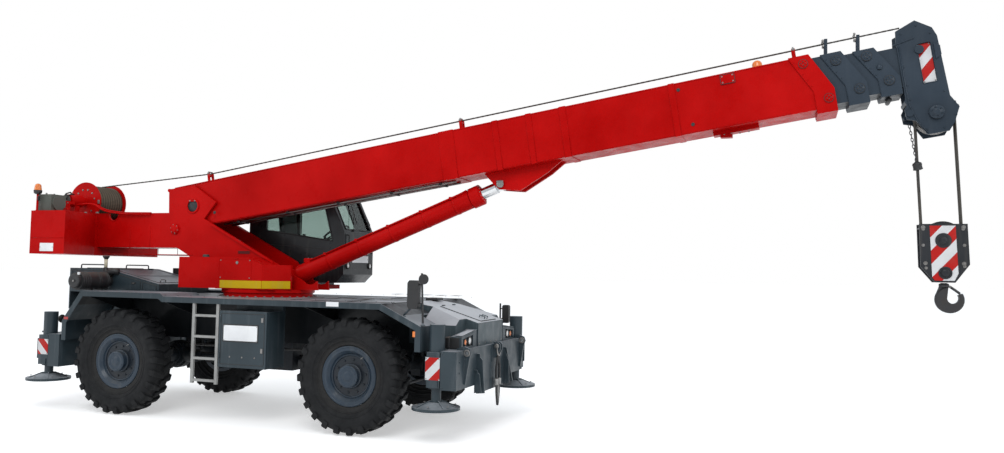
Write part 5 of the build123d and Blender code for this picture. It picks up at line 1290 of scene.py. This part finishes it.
# ---------------------------------------------------------------- superstructure
def tail():
    p = Piece("superstructure_details", "superstructure", RED)
    for s, n in SIDES:
        # boss, knob and pivot bush of the cheeks
        c = at(-1.621, s * 0.307, 2.464)
        p.lathe(c, c + n, [(0, 0.070), (0.006, 0.066), (0.008, 0.052), (0.020, 0.048),
                           (0.022, 0.030)], RED, 36)
        p.ring_of_bolts(c + n * 0.004, n, 0.060, 6, 0.006, STEEL)
        c = at(PIVOT[0], s * 0.293, PIVOT[1])
        ring(p, c, n, 0.104, 0.086, 0.008, RED, 40)
        # dark iron cap in the bush, as painted shade for its open hole
        p.lathe(c - n * 0.006, c + n, [(0.0, 0.085), (0.004, 0.083), (0.005, 0.058),
                                       (0.012, 0.050), (0.012, 0.02)], IRON, 36)
        p.slab(c + Vector((-0.060, 0, 0.060)), c + Vector((0.060, s * 0.014, 0.078)), RED, 0.003)
        for k in (-0.042, 0.042):
            p.bolt(c + Vector((k, s * 0.014, 0.069)), n, 0.008, STEEL)
        # hinge, lock and louvres of the cheeks
        p.bar(at(-0.959, s * 0.2855, 2.694), at(-0.959, s * 0.292, 2.694), 0.022, BLACK, 20)
        for k in range(4):
            z = 2.128 + k * 0.010
            p.slab(at(-0.546, s * 0.286, z), at(-0.355, s * 0.294, z + 0.004), BLACK, 0.001)
        # weld seams where the cheeks meet the turntable and along their top strips
        p.pipe(on_side(s, (-2.9, 0.2865, 2.10), (-1.30, 0.2865, 2.10)), 0.005, RED, 6)
        for x in (-2.42, -2.06):
            p.pipe(on_side(s, (x, 0.287, 2.11), (x, 0.287, 2.50)), 0.0035, RED, 6)
        # counterweight clamps
        for x in (-2.83, -3.05):
            p.bolt(at(x, s * 0.5, 2.682), UP, 0.020, STEEL)
    # tank: recessed panel, filler, strap, stripe
    y = -0.600
    for z in (1.770, 2.048):
        p.box(at(-0.610, y - 0.004, z), at(-0.092, y - 0.0005, z + 0.008), RED, 0.001)
    for x in (-0.610, -0.100):
        p.box(at(x, y - 0.004, 1.778), at(x + 0.008, y - 0.0005, 2.048), RED, 0.001)
    for x in (-0.58, -0.12):
        for z in (1.80, 2.03):
            p.bolt(at(x, y - 0.001, z), RIGHT, 0.006, STEEL)
    p.plate([at(x, y - 0.0008, z) for x, z in corners(-0.585, 0.067, 1.665, 1.765)],
            (0, -0.0022, 0), "yellow_paint", 0.001)
    e = Vector((0.726, -0.688, 0))
    a, b = at(0.072, -0.600, 0), at(0.328, -0.327, 0)
    p.plate([q + Vector((0, 0, z)) + e * 0.0008 for q, z in corners(a, b, 1.665, 1.765)],
            e * 0.0022, "yellow_paint", 0.001)
    c = at(-0.95, -0.44, 2.071)
    p.lathe(c, c + UP, [(0, 0.052), (0.006, 0.052), (0.008, 0.044), (0.030, 0.043),
                        (0.036, 0.036)], BLACK, 32)
    c = at(-0.32, -0.601, 2.000)
    p.lathe(c, c + RIGHT, [(0, 0.022), (0.003, 0.022), (0.004, 0.016)], STEEL, 24)
    p.bar(at(-0.36, -0.604, 2.055), at(-0.30, -0.604, 2.055), 0.006, RED, 10)
    # counterweight: blank plate, lifting rings, joints and bolts of its slabs
    p.plate([at(x, -1.1008, z) for x, z in corners(-3.211, -2.969, 2.115, 2.228)], (0, -0.004, 0),
            WHITE, 0.0015)
    for x in (-3.22, -2.96):
        p.bolt(at(x + (0.02 if x < -3 else -0.02), -1.1045, 2.1715), RIGHT, 0.004, STEEL)
    for y, front in ((-1.1015, -2.79), (1.1015, -3.17)):
        p.pipe([at(-3.392, y, 2.30), at(front, y, 2.30)], 0.004, RED, 6)
    for y in (-0.85, 0.85):
        c = at(-3.14, y * 0.9, 2.682)
        p.lathe(c, c + UP, [(0, 0.034), (0.012, 0.034), (0.016, 0.018)], RED, 20)
        p.pipe([c + Vector((-0.028, 0, 0.012)), c + Vector((-0.028, 0, 0.055)),
                c + Vector((0.028, 0, 0.055)), c + Vector((0.028, 0, 0.012))], 0.008, RED, 8, 0.03)
    # lamps low in the rear face, left dark, and their frames
    for y in (-0.92, 0.92):
        c = at(-3.3985, y, 2.20)
        p.box(c - Vector((0.0, 0.075, 0.045)), c + Vector((0.004, 0.075, 0.045)), BLACK, 0.002)
    # winch: bearing caps, motor bolts, pipes to the valve block
    for s, n in SIDES:
        c = at(WINCH_X, s * 0.251, WINCH_Z)
        p.ring_of_bolts(c, n, 0.185, 12, 0.010, STEEL)
    c = at(WINCH_X, -0.591, WINCH_Z)
    p.lathe(c, c + RIGHT, [(0, 0.084), (0.008, 0.080), (0.010, 0.060), (0.026, 0.056),
                           (0.030, 0.040)], "cast_iron", 36)
    p.ring_of_bolts(c, RIGHT, 0.071, 8, 0.007, STEEL)
    z = 2.852
    for y in (-0.645, -0.625, -0.665):
        p.bar(at(-3.28, y, z - 0.004), at(-3.28, y, z + 0.022), 0.009, STEEL, 12)
    for k, y in enumerate((-0.625, -0.660)):
        p.pipe([at(-3.28, y, 2.86), at(-3.28, y, 2.93 + k * 0.02), at(-3.30, -0.50 - k * 0.04,
                2.97 + k * 0.02), at(-3.33, -0.45 - k * 0.05, 2.955)], 0.010, BLACK, 10)
    for z in (2.71, 2.82):
        p.bolt(at(-3.236, -0.645, z), AHEAD, 0.007, STEEL)
    # fins of the cooler, its caps
    for k in range(15):
        z = 2.693 + k * 0.0155
        p.box(at(-3.4385, -0.948, z), at(-3.44, -0.727, z + 0.005), "cooler_paint", 0.001)
        p.box(at(-3.435, -0.9625, z), at(-3.205, -0.9602, z + 0.005), "cooler_paint", 0.001)
    for y in (-0.90, -0.77):
        p.bar(at(-3.36, y, 2.918), at(-3.36, y, 2.945), 0.012, STEEL, 12)
    # rims round the notches under the winch
    notch, half_turn = 0.094, [pi + pi * k / 12 for k in range(13)]
    for s in (-1, 1):
        p.pipe([at(-2.735 + notch * cos(t), s * 0.287, 2.680 + notch * sin(t)) for t in half_turn],
               0.008, RED, 8, 0.001)
    # feed pipes from the winch along the tail to the cheek
    for k, y in enumerate((-0.300, -0.322)):
        p.pipe([at(-3.20, y - 0.22, 2.80), at(-3.02, y - 0.10, 2.84),
                at(-2.86, y - 0.02, 2.74 - 0.02 * k), at(-2.52, y - 0.005, 2.700 - 0.02 * k),
                at(-2.05, y + 0.004, 2.695 - 0.02 * k)], 0.011, RED, 10, 0.10)
    p.done()
    # beacon: post, bracket, dark skirt, ribbed dome
    p = Piece("beacon_lamp", "superstructure", "orange_lens")
    foot = at(-3.41, -1.0, 2.680)
    p.lathe(foot, foot + UP, [(0, 0.030), (0.008, 0.030), (0.012, 0.015), (0.235, 0.014)], RED, 24)
    p.lathe(foot + UP * 0.235, foot + UP, [(0, 0.016), (0.004, 0.030), (0.016, 0.050),
                                           (0.052, 0.056), (0.060, 0.052)], BLACK, 36)
    dome = [(0.292, 0.048)]
    for k in range(7):
        h = 0.298 + k * 0.010
        dome += [(h, 0.0495 - k * 0.0012), (h + 0.006, 0.0475 - k * 0.0012)]
    dome += [(0.372, 0.036), (0.384, 0.022), (0.389, 0.004)]
    p.lathe(foot, foot + UP, dome, "orange_lens", 36)
    p.box(foot + Vector((0.014, -0.02, 0.15)), foot + Vector((0.03, 0.02, 0.21)), BLACK, 0.004)
    p.done(replaces=("beacon",))


def drum():
    """The wound rope: one ring a turn, each a little out of round with its neighbour."""
    p = Piece("winch_rope", "superstructure", "rope_steel")
    centre = at(WINCH_X, 0, WINCH_Z)
    pitch, r0, r = 0.0226, 0.2345, 0.0110
    turns = 20
    segs = 44
    around = 6
    for k in range(turns):
        y = -0.224 + pitch * k + 0.5 * pitch
        verts, faces = [], []
        for i in range(segs):
            t = 2 * pi * i / segs
            slip = pitch * 0.42 * sin(t)
            for j in range(around):
                q = 2 * pi * j / around
                rr = r0 + r * 0.8 + r * cos(q)
                verts.append(centre + Vector((rr * cos(t), y + slip * 0.3 + r * sin(q),
                                              rr * sin(t))))
        for i in range(segs):
            a, b = i * around, ((i + 1) % segs) * around
            for j in range(around):
                m = (j + 1) % around
                faces.append((a + j, a + m, b + m, b + j))
        p.add(verts, faces, "drum_rope" if k % 2 else "drum_rope_pale", True)
    # rope clamp on the flange
    for s in (-1, 1):
        p.slab(centre + Vector((0.245, s * 0.2505, -0.03)),
               centre + Vector((0.283, s * 0.262, 0.03)), STEEL, 0.003)
    p.done()


# ---------------------------------------------------------------- cab
WINDOW = ((-0.560, 2.480), (0.541, 2.333), (0.407, 2.800), (0.330, 3.060), (-0.560, 3.060))
DOOR_WINDOW = ((-0.530, 2.400), (0.480, 2.330), (0.480, 2.420), (0.205, 2.990), (-0.530, 2.990))


def loop(piece, points, r, mat, bend=0.03):
    """A closed line of gasket or seam, its join in the middle of its first run."""
    pts = [Vector(q) for q in points]
    start = (pts[0] + pts[1]) / 2
    piece.pipe([start] + pts[1:] + [pts[0], start], r, mat, 8, bend)


def cab():
    p = Piece("cab_details", "superstructure", CAB)
    loop(p, [at(x, 0.364, z) for x, z in WINDOW], 0.010, BLACK)
    lean = 0.32 / 0.68

    def screen(y, z, h=0.0):
        return at(0.72 - lean * (z - 2.47) + h, y, z + h * lean)

    loop(p, [screen(y, z, 0.002) for y, z in corners(0.425, 1.155, 2.50, 3.08)], 0.010, BLACK)
    loop(p, [at(-0.851, y, z) for y, z in corners(0.455, 1.125, 2.50, 3.02)], 0.009, BLACK)
    loop(p, [at(x, y, 3.151) for x, y in corners(-0.42, 0.18, 0.505, 1.075)], 0.008, BLACK)
    # bars over the roof light, rain rails
    for k in range(7):
        x = -0.36 + k * 0.08
        p.bar(at(x, 0.50, 3.163), at(x, 1.08, 3.163), 0.006, BLACK, 8)
    for y in (0.50, 1.08):
        p.box(at(-0.43, y - 0.01, 3.150), at(0.19, y + 0.01, 3.168), BLACK, 0.003)
    for y in (0.362, 1.218):
        p.pipe([at(-0.85, y, 3.135), at(0.385, y, 3.135), screen(y, 2.60, 0.0)], 0.006, CAB, 8)
    # wiper: motor, arm and blade
    a = screen(0.62, 2.485, 0.014)
    p.lathe(a - Vector((0.02, 0, 0)), a + Vector((0.02, 0, 0.01)), [(0, 0.022), (0.02, 0.020),
                                                                    (0.03, 0.010)], BLACK, 20)
    b = screen(0.84, 2.80, 0.020)
    p.pipe([a, screen(0.70, 2.62, 0.026), b], 0.006, BLACK, 8)
    p.bar(screen(0.80, 2.60, 0.010), screen(0.88, 3.00, 0.010), 0.007, BLACK, 8)
    # front face: lighter lower panel, blank plate, grab rail, lamps
    p.plate([at(0.7202, y, z) for y, z in corners(0.40, 1.18, 1.93, 2.44)], (0.004, 0, 0), CAB,
            0.004)
    p.plate([at(0.7244, y, z) for y, z in corners(0.60, 1.065, 2.035, 2.135)], (0.002, 0, 0),
            WHITE, 0.001)
    for y in (0.62, 1.045):
        p.bolt(at(0.7266, y, 2.085), AHEAD, 0.005, STEEL)
    for y in (0.45, 1.13):
        p.pipe([at(0.722, y, 2.18), at(0.752, y, 2.18), at(0.752, y, 2.42), at(0.722, y, 2.42)],
               0.009, BLACK, 10, 0.02)
    for y in (0.47, 1.11):
        c = at(0.722, y, 1.99)
        ring(p, c, AHEAD, 0.048, 0.040, 0.022, BLACK, 28)
        p.lathe(c, c + AHEAD, [(0.004, 0.041), (0.014, 0.034), (0.019, 0.016), (0.020, 0.003)],
                "lamp_lens", 28)
    # seams and bolts of the near wall
    p.pipe([at(-0.84, 0.3640, 2.30), at(0.70, 0.3640, 2.20)], 0.003, BLACK, 6)
    for x in (-0.80, -0.45, -0.1, 0.25, 0.6):
        p.bolt(at(x, 0.3645, 1.79), RIGHT, 0.006, CAB)
    # vent on the rear wall
    for k in range(8):
        z = 1.95 + k * 0.035
        p.box(at(-0.858, 0.55, z), at(-0.852, 1.00, z + 0.018), BLACK, 0.002,
              Matrix.Rotation(0.4, 3, "Y"))
    # dashboard, display and pedals seen through the glass
    p.box(at(0.52, 0.44, 2.30), at(0.655, 1.14, 2.42), BLACK, 0.02)
    p.box(at(0.46, 0.47, 2.43), at(0.485, 0.62, 2.55), BLACK, 0.006, Matrix.Rotation(-0.25, 3,
                                                                                     "Y"))
    p.box(at(0.50, 0.53, 2.39), at(0.515, 0.56, 2.44), BLACK, 0.003)
    for y in (0.66, 0.92):
        p.box(at(0.46, y - 0.04, 1.815), at(0.56, y + 0.04, 1.83), BLACK, 0.005,
              Matrix.Rotation(-0.5, 3, "Y"))
    p.done()

    d = Piece("door_details", "cab_door", CAB)
    loop(d, [at(x, 1.2155, z) for x, z in DOOR_WINDOW], 0.010, BLACK)
    for z in (1.95, 2.55, 2.95):
        d.bar(at(-0.612, 1.218, z - 0.05), at(-0.612, 1.218, z + 0.05), 0.012, CAB, 14)
    c = at(0.47, 1.215, 2.165)
    d.lathe(c, c + LEFT, [(0, 0.016), (0.006, 0.015), (0.007, 0.006)], STEEL, 20)
    d.pipe([at(0.40, 1.216, 2.22), at(0.40, 1.245, 2.24), at(0.36, 1.245, 2.46),
            at(0.36, 1.216, 2.48)], 0.009, BLACK, 10, 0.02)
    d.pipe([at(-0.57, 1.2155, 1.86), at(0.40, 1.2155, 1.86), at(0.52, 1.2155, 2.28)], 0.0035, CAB,
           6)
    d.done()


def pad(name, ends, cap, channels=(), thin=0.012):
    """A cushion: a rounded block blown up like cloth, with sewn channels pressed in after."""
    low, high = (Vector(c) for c in ends)
    mid, half = (low + high) / 2, (high - low) / 2 - Vector((thin, thin, thin))
    bm = bmesh.new()
    bmesh.ops.create_cube(bm, size=2)
    for v in bm.verts:
        v.co = Vector((v.co.x * half.x, v.co.y * half.y, v.co.z * half.z))
    bmesh.ops.bevel(bm, geom=bm.edges[:], offset=min(half) * 0.45, segments=3, affect="EDGES")
    mesh = bpy.data.meshes.new(name)
    bm.to_mesh(mesh)
    bm.free()
    obj = bpy.data.objects.new(name, mesh)
    bpy.context.collection.objects.link(obj)
    remesh = obj.modifiers.new("remesh", "REMESH")
    remesh.mode, remesh.voxel_size = "VOXEL", 0.010
    bake(obj)
    before = [v.co.copy() for v in obj.data.vertices]
    cloth_mod = obj.modifiers.new("cloth", "CLOTH")
    settings = cloth_mod.settings
    settings.use_pressure = True
    settings.uniform_pressure_force = 4
    settings.effector_weights.gravity = 0
    scene = bpy.context.scene
    for frame_number in range(1, 21):
        scene.frame_set(frame_number)
    bake(obj)
    scene.frame_set(1)
    for v, start in zip(obj.data.vertices, before):
        move = v.co - start
        if move.length > cap:
            v.co = start + move.normalized() * cap
    subdivide = obj.modifiers.new("subdivide", "SUBSURF")
    subdivide.levels = subdivide.render_levels = 1
    bake(obj)
    for v in obj.data.vertices:
        for axis, places, width, depth in channels:
            for place in places:
                off = (v.co[axis] - place) / width
                v.co -= v.co.normalized() * depth * 2.718 ** (-off * off)
    for f in obj.data.polygons:
        f.use_smooth = True
    return obj, mid


def bake(obj):
    """The mesh as its modifiers leave it, with none left on the piece."""
    graph = bpy.context.evaluated_depsgraph_get()
    mesh = bpy.data.meshes.new_from_object(obj.evaluated_get(graph))
    obj.modifiers.clear()
    obj.data = mesh


def seat():
    back_turn = Matrix.Rotation(-0.115, 4, "Y")
    parts = (
        ("seat_cushion", ((-0.410, 0.560, 2.122), (0.060, 1.010, 2.238)), None,
         ((1, (-0.12, 0.12), 0.007, 0.008), (0, (-0.02,), 0.007, 0.006))),
        ("seat_back", ((-0.530, 0.572, 2.235), (-0.425, 0.998, 2.862)), back_turn,
         ((1, (-0.11, 0.11), 0.007, 0.008), (2, (-0.14, 0.06), 0.007, 0.006))),
        ("seat_headrest", ((-0.532, 0.682, 2.862), (-0.462, 0.888, 2.998)), None, ()),
    )
    for name, ends, turn, channels in parts:
        obj, mid = pad(name, ends, 0.010, channels)
        place = Matrix.Translation(mid + Vector((OX, 0, 0)))
        obj.data.transform(place @ turn if turn else place)
        obj.data.materials.clear()
        obj.data.materials.append(M["seat_fabric"])
        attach(obj, "superstructure")
        if name == "seat_cushion":
            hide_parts("seat")
    p = Piece("seat_frame", "superstructure", BLACK)
    p.box(at(-0.44, 0.60, 2.102), at(0.03, 0.97, 2.128), BLACK, 0.008)
    p.box(at(-0.492, 0.62, 2.13), at(-0.452, 0.95, 2.30), BLACK, 0.01)
    for y in (0.73, 0.84):
        p.bar(at(-0.500, y, 2.78), at(-0.500, y, 2.92), 0.007, STEEL, 10)
    for y in (0.552, 1.018):
        p.lathe(at(-0.44, y, 2.21), at(-0.44, y + (0.1 if y > 0.8 else -0.1), 2.21),
                [(-0.01, 0.028), (0.004, 0.028), (0.008, 0.018)], BLACK, 20)
    p.done()


# ---------------------------------------------------------------- making it all
for corner, end, side in CORNERS:
    tyre(corner, end, side)
    wheel_trim(corner, end, side)
carrier_front()
sides()
deck_details()
rear()
outriggers()
boom_base()
boom_sections()
boom_head()
hoist_rope()
hook_block()
switch_weight()
hook()
luff_details()
tail()
drum()
cab()
seat()


# ---------------------------------------------------------------- stage
def stage():
    low, high = Vector(CAD_BOX[0]), Vector(CAD_BOX[1])
    centre = (low + high) / 2
    bpy.ops.mesh.primitive_plane_add(size=400, location=(centre.x, centre.y, -0.002))
    floor = bpy.context.object
    floor.name = "floor"
    s = Shader("pale_floor")
    tone = s.mix(s.noise(0.2, 3), (0.80, 0.80, 0.80), (0.84, 0.84, 0.84))
    s.colour(tone)
    s.rough(s.ramp(s.noise(3, 3), [(0.3, 0.85), (0.7, 0.95)]))
    path = s.node("ShaderNodeLightPath")
    seen = s.math("MAXIMUM", path.outputs["Is Camera Ray"],
                  s.math("MAXIMUM", path.outputs["Is Glossy Ray"],
                         path.outputs["Is Transmission Ray"]))
    link(s.tree, s.times(seen, 0.45), s.bsdf.inputs["Emission Strength"])
    s.set(Emission_Color=(1, 1, 1, 1))
    floor.data.materials.append(s.mat)
    world = bpy.data.worlds.new("studio")
    bpy.context.scene.world = world
    world.use_nodes = True
    t = world.node_tree
    t.nodes.clear()
    out = t.nodes.new("ShaderNodeOutputWorld")
    soft = t.nodes.new("ShaderNodeBackground")
    soft.inputs[0].default_value = (0.90, 0.95, 1.0, 1)
    soft.inputs[1].default_value = 0.75
    white = t.nodes.new("ShaderNodeBackground")
    white.inputs[0].default_value = (1, 1, 1, 1)
    white.inputs[1].default_value = 1.0
    path = t.nodes.new("ShaderNodeLightPath")
    either = t.nodes.new("ShaderNodeMath")
    either.operation = "MAXIMUM"
    link(t, path.outputs["Is Camera Ray"], either.inputs[0])
    link(t, path.outputs["Is Transmission Ray"], either.inputs[1])
    mix = t.nodes.new("ShaderNodeMixShader")
    link(t, either.outputs[0], mix.inputs[0])
    link(t, soft.outputs[0], mix.inputs[1])
    link(t, white.outputs[0], mix.inputs[2])
    link(t, mix.outputs[0], out.inputs[0])
    for name, place, target, size, power in (
            ("key", (4, -14, 16), (0, 0, 1.5), 9, 1500),
            ("fill", (-14, -10, 9), (-1, 0, 1.5), 10, 500),
            ("front", (15, -2, 8), (3, 0, 2), 8, 450)):
        data = bpy.data.lights.new(name, "AREA")
        data.energy, data.size = power, size
        lamp = bpy.data.objects.new(name, data)
        bpy.context.collection.objects.link(lamp)
        lamp.location = place
        lamp.rotation_euler = (Vector(target) - Vector(place)).to_track_quat("-Z", "Y").to_euler()


def camera():
    yaw, pitch, roll = radians(19.292), radians(3.176), radians(1.023)
    d = Vector((-sin(yaw) * cos(pitch), cos(yaw) * cos(pitch), sin(pitch)))
    r = Vector((cos(yaw), sin(yaw), 0))
    u = r.cross(d)
    right = cos(roll) * r + sin(roll) * u
    up = -sin(roll) * r + cos(roll) * u
    data = bpy.data.cameras.new("camera")
    data.sensor_width = 36
    data.lens = 29.541
    data.clip_end = 500
    cam = bpy.data.objects.new("camera", data)
    bpy.context.collection.objects.link(cam)
    m = Matrix.Identity(4)
    for i, v in enumerate((right, up, -d)):
        m[0][i], m[1][i], m[2][i] = v
    m.translation = at(6.597, -9.762, 1.936)
    cam.matrix_world = m
    bpy.context.scene.camera = cam


stage()
camera()
scene = bpy.context.scene
scene.view_settings.view_transform = "Standard"
